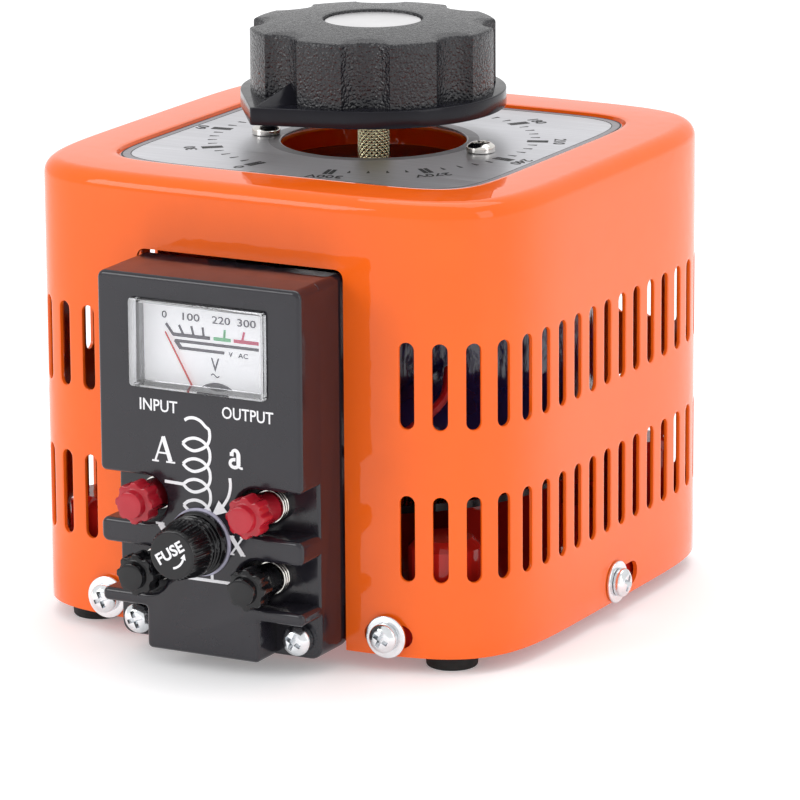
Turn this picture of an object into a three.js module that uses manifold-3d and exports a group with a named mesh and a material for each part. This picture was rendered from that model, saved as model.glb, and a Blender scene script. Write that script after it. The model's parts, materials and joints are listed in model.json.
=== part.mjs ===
// Variable autotransformer: squared steel cover, dial knob, panel meter, fuse and four binding posts.
// Millimetres, +Z up, front towards -Y. The knob's axis is x = y = 0 while the pieces are made;
// the finished group is moved along Y so that the origin is the middle of the object's base.
import * as THREE from "three";
import { mergeVertices } from "three/addons/utils/BufferGeometryUtils.js";
import Module from "manifold-3d";

const wasm = await Module();
wasm.setup();

// ---------------------------------------------------------------- driving dimensions

const BODY = { halfWidth: 75, halfDepth: 75.9, power: 5.5 };
const SHEET = 1.5;
const COVER = { bottom: 4.5, top: 129.5, bend: 4.5, recess: 1.4, hole: 26 };
const VENT = { width: 4.2, length: 23.7, first: 49.2, count: 50, rows: [37.65, 79.75] };
const NOTCH = { halfWidth: 31.4, top: 109.2 };
const PLATE = { halfWidth: 56.3, power: 7.5, thickness: 0.6 };
const PLATE_TOP = COVER.top - COVER.recess + PLATE.thickness;
const DIAL_SCREW = { shank: 2, shankLength: 5, head: 4, headHeight: 2.8 };
const DIAL_SCREW_PLACES = [["left", -30.5, -6.8], ["right", 34.8, -2.6]];

const BASE = { bottom: 6.5, floor: 4, rim: 16.5, rimWidth: 5, clearance: 2.3 };
const BOSS = { x: 53, y: 60, radius: 10, top: 35.5 };
const FOOT = { x: 55.5, y: 61, radius: 7.5, height: BASE.bottom };
const SEAT = 35.6;
const HUB = { radius: 13, bore: 9.6, top: 69.5 };

const COIL = { outer: 61, inner: 27, bottom: 38, top: 100, wall: 2, gapDegrees: 24 };
const CORE = { outer: 57, inner: 31, bottom: 42, top: 96 };
const FILM = { inner: 61.3, outer: 62.3, bottom: 50, top: 86 };
const CLAMP = { radius: 34, bottom: 100.4, thickness: 3, bossRadius: 12, bossBottom: 70 };
const SHAFT = { radius: 4, bottom: 11.5, knurlRadius: 4.5, knurlStart: 117, top: 157 };
const ARM = { radius: 28, bottom: 117.2, top: 121.7, reach: 56, width: 14, brushRadius: 48 };

const KNOB = { bottom: 138.8, flange: 4.9, flangeRadius: 37, noseRadius: 45, lobeRadius: 34.4 };
const KNOB_TOP = { rim: 161.7, centre: 163.2, recessRadius: 13.9, recessDepth: 2.6 };
const FLUTES = 8;
const FLUTE_DEPTH = 4.8;
const POINTER_REST = THREE.MathUtils.degToRad(-110.5);

// The block and all that it carries are made about x = 0 and then moved across to BLOCK.x.
const BLOCK = { x: -0.8, halfWidth: 31, bottom: 4.8, top: 108.4, front: -98.3, back: -74, wall: 2.5 };
const POCKET = { back: -88.2, column: 17.3, halfHeight: 6.5, lower: 26.7, upper: 46.5 };
const EAR = { top: 16.5, screwX: 24.5, screwZ: 10.2 };
const POST = { x: 17, lower: 26.8, upper: 46.65, capFront: -107.2, stud: 2.5, sleeve: 3.3, neck: 4.35 };
const POST_LOBES = { count: 8, tip: 5.8, valley: 5.05, back: 99.1, front: 104.7, boss: 3.75 };
const COLLAR = { front: -91.6, radius: 4.9 };
const FUSE = { z: 36.7, flange: 8.9, thread: 7.4, gasket: 9.4, capFront: -113.9, skirt: 8.2, face: 6.5 };
const CARTRIDGE = { radius: 2.6, front: 107.7, length: 20 };
const METER = { halfWidth: 20.7, bottom: 77.7, top: 102, front: -99.8, scale: -91.5, lowEdge: 62, highEdge: 104 };
const NEEDLE = { x: 2.1, z: 65.4, length: 30.7, rest: THREE.MathUtils.degToRad(29.8) };
const MOVEMENT = { radius: 8.3, z: 71 };
const BLOCK_SCREW = { head: 4.2, headHeight: 4.2, shank: 2, shankLength: 18 };

const COVER_SCREW = { z: 10.2, frontX: 43.5, head: 4, headHeight: 3, shank: 2, shankLength: 8 };
const WASHER = { radius: 6, bore: 2.3, thickness: 1 };

const RUNNING_GAP = 0.3;
const Y_SHIFT = -(FUSE.capFront + BODY.halfDepth) / 2;

// ---------------------------------------------------------------- materials

function paint(color, roughness, metalness) {
  return new THREE.MeshStandardMaterial({ color, roughness, metalness });
}

const ORANGE = paint(0xf26a1b, 0.3, 0);
const BLACK = paint(0x2b2a2e, 0.5, 0);
const RUBBER = paint(0x1a1a1a, 0.85, 0);
const RED_CASTING = paint(0xb3241c, 0.5, 0);
const RED_PLASTIC = paint(0xa31c2b, 0.35, 0);
const ALUMINIUM = paint(0xb9b9bd, 0.35, 0.9);
const ZINC = paint(0xc9ccd0, 0.25, 1);
const BRASS = paint(0xb59a4c, 0.35, 1);
const STEEL = paint(0x6a6d70, 0.4, 1);
const COPPER = paint(0x8c3f22, 0.4, 1);
const FILM_BLUE = paint(0x141436, 0.25, 0);
const CLEAR = paint(0xf2f4f7, 0.1, 0);
const WHITE = paint(0xf4f4f2, 0.6, 0);
const GASKET = paint(0xb9b7c6, 0.6, 0);
const GLASS = paint(0xdfe8ea, 0.05, 0);
const CARBON = paint(0x252525, 0.8, 0);

// ---------------------------------------------------------------- solids

// A closed geometry as a manifold solid, whichever way round its faces were listed.
function solid(geometry) {
  const bare = new THREE.BufferGeometry();
  bare.setAttribute("position", geometry.getAttribute("position").clone());
  bare.setIndex(geometry.index ? geometry.index.clone() : null);
  const merged = mergeVertices(bare, 1e-4);
  const triVerts = new Uint32Array(merged.index.array);
  const vertProperties = new Float32Array(merged.attributes.position.array);
  let made = new wasm.Manifold(new wasm.Mesh({ numProp: 3, vertProperties, triVerts }));
  if (made.volume() < 0) {
    for (let i = 0; i < triVerts.length; i += 3) {
      [triVerts[i + 1], triVerts[i + 2]] = [triVerts[i + 2], triVerts[i + 1]];
    }
    made = new wasm.Manifold(new wasm.Mesh({ numProp: 3, vertProperties, triVerts }));
  }
  return made;
}

// A manifold solid as a geometry that a mesh can hold.
function geometryOf(made) {
  const { numProp, vertProperties, triVerts } = made.getMesh();
  const positions = [];
  for (let i = 0; i < vertProperties.length; i += numProp) {
    positions.push(vertProperties[i], vertProperties[i + 1], vertProperties[i + 2]);
  }
  const geometry = new THREE.BufferGeometry();
  geometry.setAttribute("position", new THREE.Float32BufferAttribute(positions, 3));
  geometry.setIndex([...triVerts]);
  geometry.computeVertexNormals();
  return geometry;
}

function join(solids) {
  return solids.reduce((sum, next) => sum.add(next));
}

function cut(body, cutters) {
  return cutters.reduce((rest, cutter) => rest.subtract(cutter), body);
}

// A solid of revolution about Z from [radius, z] points.
function turned(profile, segments = 24) {
  const points = profile.map(([radius, z]) => new THREE.Vector2(radius, z));
  points.push(points[0].clone());
  return solid(new THREE.LatheGeometry(points, segments).rotateX(Math.PI / 2));
}

function disc(radius, bottom, top, segments = 24) {
  return turned([[0, bottom], [radius, bottom], [radius, top], [0, top]], segments);
}

function ring(outer, inner, bottom, top, segments = 24) {
  return turned([[inner, bottom], [outer, bottom], [outer, top], [inner, top]], segments);
}

// A straight prism over an outline of [x, y] points, between two heights.
function prism(outline, bottom, top) {
  const shape = new THREE.Shape(outline.map(([x, y]) => new THREE.Vector2(x, y)));
  const geometry = new THREE.ExtrudeGeometry(shape, { depth: top - bottom, bevelEnabled: false });
  return solid(geometry.translate(0, 0, bottom));
}

function box([x0, x1], [y0, y1], [z0, z1]) {
  const geometry = new THREE.BoxGeometry(x1 - x0, y1 - y0, z1 - z0);
  return solid(geometry.translate((x0 + x1) / 2, (y0 + y1) / 2, (z0 + z1) / 2));
}

// Turns a solid made along +Z so that it points along -Y, with its origin at (x, 0, z).
function facingFront(made, x, z) {
  return made.rotate([90, 0, 0]).translate([x, 0, z]);
}

// A closed loft through rings of [x, y, z] points, all with the same count.
function loft(rings) {
  const count = rings[0].length;
  const positions = rings.flat(2);
  const index = [];
  for (let ringNo = 0; ringNo + 1 < rings.length; ringNo++) {
    for (let i = 0; i < count; i++) {
      const a = ringNo * count + i;
      const b = ringNo * count + ((i + 1) % count);
      index.push(a, b, b + count, a, b + count, a + count);
    }
  }
  const outline = rings[0].map(([x, y]) => new THREE.Vector2(x, y));
  const last = (rings.length - 1) * count;
  for (const [a, b, c] of THREE.ShapeUtils.triangulateShape(outline, [])) {
    index.push(a, c, b, last + a, last + b, last + c);
  }
  const geometry = new THREE.BufferGeometry();
  geometry.setAttribute("position", new THREE.Float32BufferAttribute(positions, 3));
  geometry.setIndex(index);
  return solid(geometry);
}

// A round lead along a smooth curve through the points given.
function lead(points, radius, steps) {
  const curve = new THREE.CatmullRomCurve3(points.map((point) => new THREE.Vector3(...point)));
  const section = new THREE.Shape();
  const sides = 8;
  for (let i = 0; i < sides; i++) {
    const angle = (i / sides) * 2 * Math.PI;
    const x = radius * Math.cos(angle);
    const y = radius * Math.sin(angle);
    if (i === 0) section.moveTo(x, y);
    else section.lineTo(x, y);
  }
  return solid(new THREE.ExtrudeGeometry(section, { steps, extrudePath: curve }));
}

// ---------------------------------------------------------------- squared outlines

// The point of a superellipse at an angle, in plan.
function squaredPoint(halfWidth, halfDepth, power, angle) {
  const c = Math.cos(angle);
  const s = Math.sin(angle);
  const reach = (Math.abs(c) ** power + Math.abs(s) ** power) ** (-1 / power);
  return [halfWidth * reach * c, halfDepth * reach * s];
}

// The outward direction of the body's outline at a point on it.
function bodyNormal([x, y]) {
  const { halfWidth, halfDepth, power } = BODY;
  const nx = (Math.sign(x) * Math.abs(x / halfWidth) ** (power - 1)) / halfWidth;
  const ny = (Math.sign(y) * Math.abs(y / halfDepth) ** (power - 1)) / halfDepth;
  const length = Math.hypot(nx, ny);
  return [nx / length, ny / length];
}

// A fine walk round the body's outline from the middle of the front, anticlockwise from above.
const WALK = Array.from({ length: 7201 }, (_, i) => {
  const angle = -Math.PI / 2 + (i / 7200) * 2 * Math.PI;
  return squaredPoint(BODY.halfWidth, BODY.halfDepth, BODY.power, angle);
});
const WALKED = [0];
for (let i = 1; i < WALK.length; i++) {
  const step = Math.hypot(WALK[i][0] - WALK[i - 1][0], WALK[i][1] - WALK[i - 1][1]);
  WALKED.push(WALKED[i - 1] + step);
}
const GIRTH = WALKED[WALKED.length - 1];

// The point of the body's outline at a distance walked from the middle of the front.
function bodyPoint(distance) {
  const wanted = ((distance % GIRTH) + GIRTH) % GIRTH;
  return WALK[WALKED.findIndex((walked) => walked >= wanted)];
}

const VENT_PITCH = (GIRTH - 2 * VENT.first) / (VENT.count - 1);
const VENT_PLACES = Array.from({ length: VENT.count }, (_, i) => VENT.first + i * VENT_PITCH);

// Plan corners of the cover: one flat for each vent, and a few flats across the front.
const CORNERS = [
  ...Array.from({ length: VENT.count + 1 }, (_, i) => VENT.first + (i - 0.5) * VENT_PITCH),
  ...[-0.5, 0, 0.5].map((part) => part * VENT.first),
].map(bodyPoint);

// The cover's corners moved inwards by an inset, at a height.
function bodyRing(inset, z) {
  return CORNERS.map((corner) => {
    const [nx, ny] = bodyNormal(corner);
    return [corner[0] - nx * inset, corner[1] - ny * inset, z];
  });
}

function squaredOutline(halfWidth, power, count) {
  return Array.from({ length: count }, (_, i) => {
    return squaredPoint(halfWidth, halfWidth, power, (i / count) * 2 * Math.PI);
  });
}

// ---------------------------------------------------------------- cover and dial plate

// The body's rounded top edge: rings that follow the bend from the wall to the flat top.
function domedBody(inset, bottom, top) {
  const bend = COVER.bend - inset;
  const rings = [bodyRing(inset, bottom)];
  for (const turn of [0, 0.35, 0.7, 1]) {
    const angle = (turn * Math.PI) / 2;
    const ringInset = inset + bend * (1 - Math.cos(angle));
    rings.push(bodyRing(ringInset, top - bend + bend * Math.sin(angle)));
  }
  return loft(rings);
}

// One vent's cutter: a slot with eight-sided round ends, square to the cover's wall.
function ventCutter(distance, centreZ) {
  const start = bodyPoint(distance - VENT_PITCH / 2);
  const end = bodyPoint(distance + VENT_PITCH / 2);
  const radius = VENT.width / 2;
  const straight = VENT.length / 2 - radius;
  const outline = [];
  for (const side of [1, -1]) {
    for (const step of [0, 1, 2, 3]) {
      const angle = (step / 3) * Math.PI;
      outline.push([side * radius * Math.cos(angle), side * (straight + radius * Math.sin(angle))]);
    }
  }
  const wallAngle = Math.atan2(end[1] - start[1], end[0] - start[0]);
  return prism(outline, -4, 4)
    .rotate([90, 0, THREE.MathUtils.radToDeg(wallAngle)])
    .translate([(start[0] + end[0]) / 2, (start[1] + end[1]) / 2, centreZ]);
}

// A rounded slot for a cover screw, made along +Z with its long way along X.
function screwSlot(length, height, shift) {
  const radius = height / 2;
  const outline = [];
  for (const side of [1, -1]) {
    for (const step of [0, 1, 2, 3, 4]) {
      const angle = -Math.PI / 2 + (step / 4) * Math.PI;
      const x = side * (length / 2 - radius + radius * Math.cos(angle));
      outline.push([shift + x, side * radius * Math.sin(angle)]);
    }
  }
  return prism(outline, 60, 90);
}

function housingCover() {
  const shell = domedBody(0, COVER.bottom, COVER.top)
    .subtract(domedBody(SHEET, COVER.bottom - 1, COVER.top - SHEET));
  const roof = COVER.top - COVER.recess;
  const seat = prism(squaredOutline(PLATE.halfWidth + 3, PLATE.power, 40), roof - SHEET, COVER.top - SHEET);
  const recess = prism(squaredOutline(PLATE.halfWidth + 0.4, PLATE.power, 40), roof, COVER.top + 1);
  const hole = disc(COVER.hole, roof - 5, COVER.top + 1, 40);
  const notchX = [BLOCK.x - NOTCH.halfWidth, BLOCK.x + NOTCH.halfWidth];
  const notch = box(notchX, [-80, -70], [0, NOTCH.top]);
  const vents = VENT_PLACES.flatMap((place) => VENT.rows.map((z) => ventCutter(place, z)));
  const frontSlot = screwSlot(14, 6.5, 0);
  const sideSlot = screwSlot(17, 6.5, 5.5);
  const screwSlots = [
    facingFront(frontSlot, COVER_SCREW.frontX, COVER_SCREW.z),
    facingFront(frontSlot, -COVER_SCREW.frontX, COVER_SCREW.z),
    sideSlot.rotate([90, 0, 90]).translate([0, 0, COVER_SCREW.z]),
    screwSlot(17, 6.5, -5.5).rotate([90, 0, -90]).translate([0, 0, COVER_SCREW.z]),
  ];
  const screwHoles = DIAL_SCREW_PLACES.map(([, x, y]) => {
    return disc(DIAL_SCREW.shank + 0.3, roof - 5, COVER.top, 12).translate([x, y, 0]);
  });
  return cut(shell.add(seat), [recess, hole, notch, join(vents), ...screwSlots, ...screwHoles]);
}

function dialPlate() {
  const roof = COVER.top - COVER.recess;
  const plate = prism(squaredOutline(PLATE.halfWidth, PLATE.power, 48), roof, PLATE_TOP);
  const hole = disc(COVER.hole, roof - 1, PLATE_TOP + 1, 40);
  const screwHoles = DIAL_SCREW_PLACES.map(([, x, y]) => {
    return disc(DIAL_SCREW.shank + 0.3, roof - 1, PLATE_TOP + 1, 12).translate([x, y, 0]);
  });
  return cut(plate, [hole, ...screwHoles]);
}

// ---------------------------------------------------------------- fasteners

// A pan-head screw along +Z with the underside of its head at zero.
function panScrew(headRadius, headHeight, shankRadius, shankLength) {
  return turned([
    [0, -shankLength],
    [shankRadius, -shankLength],
    [shankRadius, 0],
    [headRadius, 0],
    [headRadius, headHeight * 0.45],
    [headRadius * 0.8, headHeight * 0.85],
    [headRadius * 0.4, headHeight],
    [0, headHeight],
  ], 16);
}

function coverScrew() {
  return panScrew(COVER_SCREW.head, COVER_SCREW.headHeight, COVER_SCREW.shank, COVER_SCREW.shankLength);
}

function coverWasher() {
  return ring(WASHER.radius, WASHER.bore, 0, WASHER.thickness, 20);
}

// ---------------------------------------------------------------- base and transformer

function foot() {
  return turned([
    [0, 0],
    [FOOT.radius - 0.8, 0],
    [FOOT.radius, 0.8],
    [FOOT.radius, FOOT.height],
    [0, FOOT.height],
  ], 20);
}

function baseCasting() {
  const { bottom, floor, rim, rimWidth, clearance } = BASE;
  const tray = loft([bodyRing(clearance, bottom), bodyRing(clearance, rim)]);
  const inset = clearance + rimWidth;
  const well = loft([bodyRing(inset, bottom + floor), bodyRing(inset, rim + 1)]);
  const bosses = [];
  for (const x of [-BOSS.x, BOSS.x]) {
    for (const y of [-BOSS.y, BOSS.y]) {
      const boss = turned([
        [0, bottom],
        [BOSS.radius, bottom],
        [BOSS.radius, BOSS.top - 2.5],
        [BOSS.radius - 2.5, BOSS.top],
        [0, BOSS.top],
      ], 20);
      bosses.push(boss.translate([x, y, 0]));
    }
  }
  const hub = disc(HUB.radius, bottom, HUB.top, 32);
  const pedestal = disc(26, bottom, SEAT, 32);
  const ribs = [0, 1, 2].map((step) => {
    return box([-52, 52], [-3, 3], [bottom + 1, SEAT]).rotate([0, 0, 30 + step * 60]);
  });
  const bore = disc(HUB.bore, bottom + floor, HUB.top + 1, 32);
  const earX = [BLOCK.x - EAR.screwX, BLOCK.x + EAR.screwX];
  const frontHoles = [-COVER_SCREW.frontX, COVER_SCREW.frontX, ...earX].map((x) => {
    return facingFront(disc(2.3, 60, 80, 12), x, COVER_SCREW.z);
  });
  const sideHoles = [90, -90].map((turn) => {
    return disc(2.3, 60, 80, 12).rotate([0, turn, 0]).translate([0, 0, COVER_SCREW.z]);
  });
  return cut(join([tray.subtract(well), ...bosses, pedestal, hub, ...ribs]), [
    bore,
    ...frontHoles,
    ...sideHoles,
  ]);
}

// The coil's tube of wire: a square section swept round most of a turn, open at both ends.
function toroidWinding() {
  const { outer, inner, bottom, top, wall, gapDegrees } = COIL;
  const tube = ring(outer, inner, bottom, top, 48)
    .subtract(ring(outer - wall, inner + wall, bottom + wall, top - wall, 48));
  const half = THREE.MathUtils.degToRad(gapDegrees / 2);
  const far = outer + 20;
  const gap = prism([
    [0, 0],
    [-far * Math.sin(half), -far * Math.cos(half)],
    [far * Math.sin(half), -far * Math.cos(half)],
  ], bottom - 1, top + 1);
  return tube.subtract(gap);
}

function clampPlate() {
  const { radius, bottom, thickness, bossRadius, bossBottom } = CLAMP;
  return turned([
    [7.5, bossBottom],
    [bossRadius, bossBottom],
    [bossRadius, bottom],
    [radius, bottom],
    [radius, bottom + thickness - 1],
    [radius - 1, bottom + thickness],
    [7.5, bottom + thickness],
  ], 32);
}

// ---------------------------------------------------------------- knob and rotor

// The knob's outline: eight lobes of equal width with a round flute between each two.
function lobedOutline(inset) {
  const sector = (2 * Math.PI) / FLUTES;
  const outline = [];
  for (let flute = 0; flute < FLUTES; flute++) {
    const centre = POINTER_REST + flute * sector;
    for (const step of [-1, -0.66, -0.33, 0, 0.33, 0.66]) {
      const angle = centre + (step * sector) / 4;
      const radius = KNOB.lobeRadius - inset - FLUTE_DEPTH * Math.cos((step * Math.PI) / 2);
      outline.push([radius * Math.cos(angle), radius * Math.sin(angle)]);
    }
    for (const step of [1, 1.66, 2.33]) {
      const angle = centre + (step * sector) / 4;
      const radius = KNOB.lobeRadius - inset;
      outline.push([radius * Math.cos(angle), radius * Math.sin(angle)]);
    }
  }
  return outline;
}

// The flange: a disc whose edge runs out along two tangents to a pointed nose at the dial's zero.
function flangeOutline() {
  const { flangeRadius, noseRadius } = KNOB;
  const reach = Math.acos(flangeRadius / noseRadius);
  const outline = [[noseRadius * Math.cos(POINTER_REST), noseRadius * Math.sin(POINTER_REST)]];
  const steps = 36;
  for (let i = 0; i <= steps; i++) {
    const angle = POINTER_REST + reach + (i / steps) * (2 * Math.PI - 2 * reach);
    outline.push([flangeRadius * Math.cos(angle), flangeRadius * Math.sin(angle)]);
  }
  return outline;
}

// The raised pointer on the flange: a three-sided ridge that falls from the grip to the nose.
function pointerRidge() {
  const base = KNOB.bottom + KNOB.flange - 0.5;
  const place = (radius, across, z) => [
    radius * Math.cos(POINTER_REST) - across * Math.sin(POINTER_REST),
    radius * Math.sin(POINTER_REST) + across * Math.cos(POINTER_REST),
    z,
  ];
  const corners = [
    place(27, -7, base),
    place(27, 7, base),
    place(KNOB.noseRadius - 1.5, 0, base),
    place(27, 0, base + 7),
  ];
  const geometry = new THREE.BufferGeometry();
  geometry.setAttribute("position", new THREE.Float32BufferAttribute(corners.flat(), 3));
  geometry.setIndex([0, 1, 2, 0, 3, 1, 1, 3, 2, 2, 3, 0]);
  return solid(geometry);
}

function knob() {
  const gripBottom = KNOB.bottom + KNOB.flange;
  const flange = prism(flangeOutline(), KNOB.bottom, gripBottom);
  const lift = (outline, z) => outline.map(([x, y]) => [x, y, z]);
  const grip = loft([
    lift(lobedOutline(0), gripBottom - 1),
    lift(lobedOutline(0), KNOB_TOP.rim - 0.8),
    lift(lobedOutline(0.8), KNOB_TOP.rim),
    lift(lobedOutline(12), KNOB_TOP.centre),
  ]);
  const recess = disc(KNOB_TOP.recessRadius, KNOB_TOP.centre - KNOB_TOP.recessDepth, KNOB_TOP.centre + 1, 32);
  const bore = disc(SHAFT.knurlRadius + 0.3, KNOB.bottom - 1, SHAFT.top + 0.4, 24);
  return cut(join([flange, grip, pointerRidge()]), [recess, bore]);
}

function shaft() {
  const { radius, bottom, knurlRadius, knurlStart, top } = SHAFT;
  return turned([
    [0, bottom],
    [radius, bottom],
    [radius, knurlStart - 0.5],
    [knurlRadius, knurlStart],
    [knurlRadius, top - 0.6],
    [knurlRadius - 0.6, top],
    [0, top],
  ], 24);
}

// The brush arm: a disc clamped on the shaft, and a bar out to a holder that hangs over the coil.
function brushArm() {
  const { radius, bottom, top, reach, width, brushRadius } = ARM;
  const bar = box([0, reach], [-width / 2, width / 2], [bottom, bottom + 4]);
  const holder = box([brushRadius - 8, brushRadius + 8], [-6, 6], [104.5, bottom + 1]);
  const slot = box([brushRadius - 5.3, brushRadius + 5.3], [-3.3, 3.3], [104, bottom - 2]);
  const bore = disc(SHAFT.knurlRadius + 0.2, bottom - 1, top + 1, 24);
  return cut(join([disc(radius, bottom, top, 40), bar, holder]), [slot, bore])
    .rotate([0, 0, THREE.MathUtils.radToDeg(POINTER_REST)]);
}

function carbonBrush() {
  const { brushRadius } = ARM;
  return box([brushRadius - 5, brushRadius + 5], [-3, 3], [COIL.top + 0.2, 112])
    .rotate([0, 0, THREE.MathUtils.radToDeg(POINTER_REST)]);
}

// ---------------------------------------------------------------- terminal block

// The pocket beside a binding post: round at its inner end and open at the block's side.
function postPocket(side, z) {
  const outline = [];
  for (let step = 0; step <= 8; step++) {
    const angle = Math.PI / 2 + (step / 8) * Math.PI;
    const x = POST.x + POCKET.halfHeight * Math.cos(angle);
    outline.push([x, POCKET.halfHeight * Math.sin(angle)]);
  }
  outline.push([BLOCK.halfWidth + 5, -POCKET.halfHeight], [BLOCK.halfWidth + 5, POCKET.halfHeight]);
  const sided = outline.map(([x, y]) => [side * x, y]);
  if (side < 0) sided.reverse();
  return facingFront(prism(sided, -POCKET.back, 120), 0, z);
}

function terminalBlock() {
  const { halfWidth, bottom, top, front, back, wall } = BLOCK;
  const edge = 2;
  const outline = [
    [-halfWidth, bottom + edge],
    [-halfWidth + edge, bottom],
    [halfWidth - edge, bottom],
    [halfWidth, bottom + edge],
    [halfWidth, top - edge],
    [halfWidth - edge, top],
    [-halfWidth + edge, top],
    [-halfWidth, top - edge],
  ];
  const body = facingFront(prism(outline, -back, -front), 0, 0);
  const rear = back + 5;
  const inside = [-halfWidth + wall, halfWidth - wall];
  const caves = [
    box(inside, [POCKET.back + wall, rear], [EAR.top + 1, top - wall]),
    box([-POST.x + POCKET.halfHeight + 1, POST.x - POCKET.halfHeight - 1], [front + wall, rear], [20, 54]),
    box(inside, [front + wall, rear], [POCKET.upper + POCKET.halfHeight + wall, top - wall]),
  ];
  const pockets = [];
  for (const side of [-1, 1]) {
    pockets.push(postPocket(side, POCKET.lower), postPocket(side, POCKET.upper));
    const earX = side > 0 ? [POCKET.column, halfWidth + 5] : [-halfWidth - 5, -POCKET.column];
    pockets.push(box(earX, [front - 5, POCKET.back], [0, EAR.top]));
  }
  const windowX = METER.halfWidth + 0.1;
  const holes = [
    facingFront(disc(FUSE.thread + 0.3, 60, 120, 24), 0, FUSE.z),
    box([-windowX, windowX], [front - 1, rear], [METER.bottom - 0.1, METER.top + 0.1]),
  ];
  for (const x of [-1, 1]) {
    holes.push(facingFront(disc(2.3, 60, 120, 12), x * EAR.screwX, EAR.screwZ));
    for (const z of [POST.lower, POST.upper]) {
      holes.push(facingFront(disc(POST.stud + 0.3, 60, 120, 12), x * POST.x, z));
    }
  }
  return cut(body, [...caves, ...pockets, ...holes]);
}

// ---------------------------------------------------------------- meter

function meterWindow() {
  const { halfWidth, bottom, top, front } = METER;
  const wall = 1.2;
  const back = METER.scale - 1.3;
  const insideX = [-halfWidth + wall, halfWidth - wall];
  return box([-halfWidth, halfWidth], [front, back], [bottom, top])
    .subtract(box(insideX, [front + wall, back + 1], [bottom + wall, top - wall]));
}

function meterNeedle() {
  const { length } = NEEDLE;
  const hub = disc(1.6, -METER.scale + 0.5, -METER.scale + 1.4, 12);
  const pointer = prism([
    [-0.45, 0],
    [0.45, 0],
    [0.2, length],
    [-0.2, length],
  ], -METER.scale + 0.6, -METER.scale + 1);
  const turnedBack = hub.add(pointer).rotate([0, 0, THREE.MathUtils.radToDeg(NEEDLE.rest)]);
  return facingFront(turnedBack, NEEDLE.x, NEEDLE.z);
}

// ---------------------------------------------------------------- binding posts

function postStud() {
  return turned([
    [0, 68],
    [POST.stud, 68],
    [POST.stud, 102],
    [POST.stud - 0.6, 102.6],
    [0, 102.6],
  ], 12);
}

// Three thin plated rings stacked against the pocket's wall.
function postCollar() {
  const bore = POST.stud + 0.2;
  const waist = COLLAR.radius - 0.6;
  const profile = [[bore, -POCKET.back]];
  for (let i = 0; i < 3; i++) {
    const start = -POCKET.back + i * 1.15;
    profile.push([COLLAR.radius, start], [COLLAR.radius, start + 0.85], [waist, start + 1], [waist, start + 1.1]);
  }
  profile.pop();
  profile.pop();
  profile.push([COLLAR.radius, -COLLAR.front], [bore, -COLLAR.front]);
  return turned(profile, 16);
}

// The brass threaded sleeve that runs on the stud inside the cap.
function postInsert() {
  return ring(POST.sleeve, POST.stud + 0.2, -COLLAR.front + 1, 103.4, 12);
}

// A smooth neck, a lobed grip and a round boss that stands out of the grip's face.
function postCap() {
  const { count, tip, valley, back, front, boss } = POST_LOBES;
  const outline = [];
  for (let i = 0; i < count; i++) {
    const angle = (i / count) * 2 * Math.PI;
    const half = Math.PI / count;
    outline.push([tip * Math.cos(angle - half * 0.4), tip * Math.sin(angle - half * 0.4)]);
    outline.push([tip * Math.cos(angle + half * 0.4), tip * Math.sin(angle + half * 0.4)]);
    outline.push([valley * Math.cos(angle + half), valley * Math.sin(angle + half)]);
  }
  const grip = prism(outline, back, front);
  const neck = disc(POST.neck, -COLLAR.front + RUNNING_GAP, back + 0.5, 16);
  const face = disc(boss, front - 0.5, -POST.capFront, 16);
  const bore = disc(POST.sleeve + RUNNING_GAP, 90, 103.4 + RUNNING_GAP, 16);
  return join([grip, neck, face]).subtract(bore);
}

// ---------------------------------------------------------------- fuse

function fuseHolder() {
  const panel = -BLOCK.front;
  return turned([
    [4.6, 66],
    [6, 66],
    [6, 82],
    [FUSE.thread, 82],
    [FUSE.thread, panel + 1],
    [FUSE.flange, panel + 1],
    [FUSE.flange, panel + 2.6],
    [FUSE.flange - 0.7, panel + 3.3],
    [4.6, panel + 3.3],
  ], 28);
}

function fuseCap() {
  const back = -BLOCK.front + 3.3 + RUNNING_GAP;
  const front = -FUSE.capFront;
  const ribs = 24;
  const outline = [];
  for (let i = 0; i < ribs; i++) {
    const angle = (i / ribs) * 2 * Math.PI;
    const step = Math.PI / ribs;
    outline.push([FUSE.skirt * Math.cos(angle), FUSE.skirt * Math.sin(angle)]);
    outline.push([(FUSE.skirt - 0.4) * Math.cos(angle + step), (FUSE.skirt - 0.4) * Math.sin(angle + step)]);
  }
  const skirt = prism(outline, back, back + 5.5);
  const nose = turned([
    [0, back + 5],
    [FUSE.skirt - 0.8, back + 5],
    [FUSE.face + 0.3, front - 0.8],
    [FUSE.face, front],
    [0, front],
  ], 28);
  const socket = disc(CARTRIDGE.radius + RUNNING_GAP, back - 1, CARTRIDGE.front + RUNNING_GAP, 20);
  return skirt.add(nose).subtract(socket);
}

// ---------------------------------------------------------------- assembly

const variac = new THREE.Group();

function place(name, made, material) {
  const mesh = new THREE.Mesh(geometryOf(made), material);
  mesh.name = name;
  variac.add(mesh);
}

function placeOnBlock(name, made, material) {
  place(name, made.translate([BLOCK.x, 0, 0]), material);
}

place("housing_cover", housingCover(), ORANGE);
place("dial_plate", dialPlate(), ALUMINIUM);
place("base_casting", baseCasting(), RED_CASTING);

for (const [end, y] of [["front", -FOOT.y], ["rear", FOOT.y]]) {
  for (const [side, x] of [["left", -FOOT.x], ["right", FOOT.x]]) {
    place(`foot_${end}_${side}`, foot().translate([x, y, 0]), RUBBER);
  }
}

for (const [side, x, y] of DIAL_SCREW_PLACES) {
  const { shank, shankLength, head, headHeight } = DIAL_SCREW;
  const dialScrew = panScrew(head, headHeight, shank, shankLength).translate([x, y, PLATE_TOP + 0.1]);
  place(`dial_screw_${side}`, dialScrew, ZINC);
}

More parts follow.
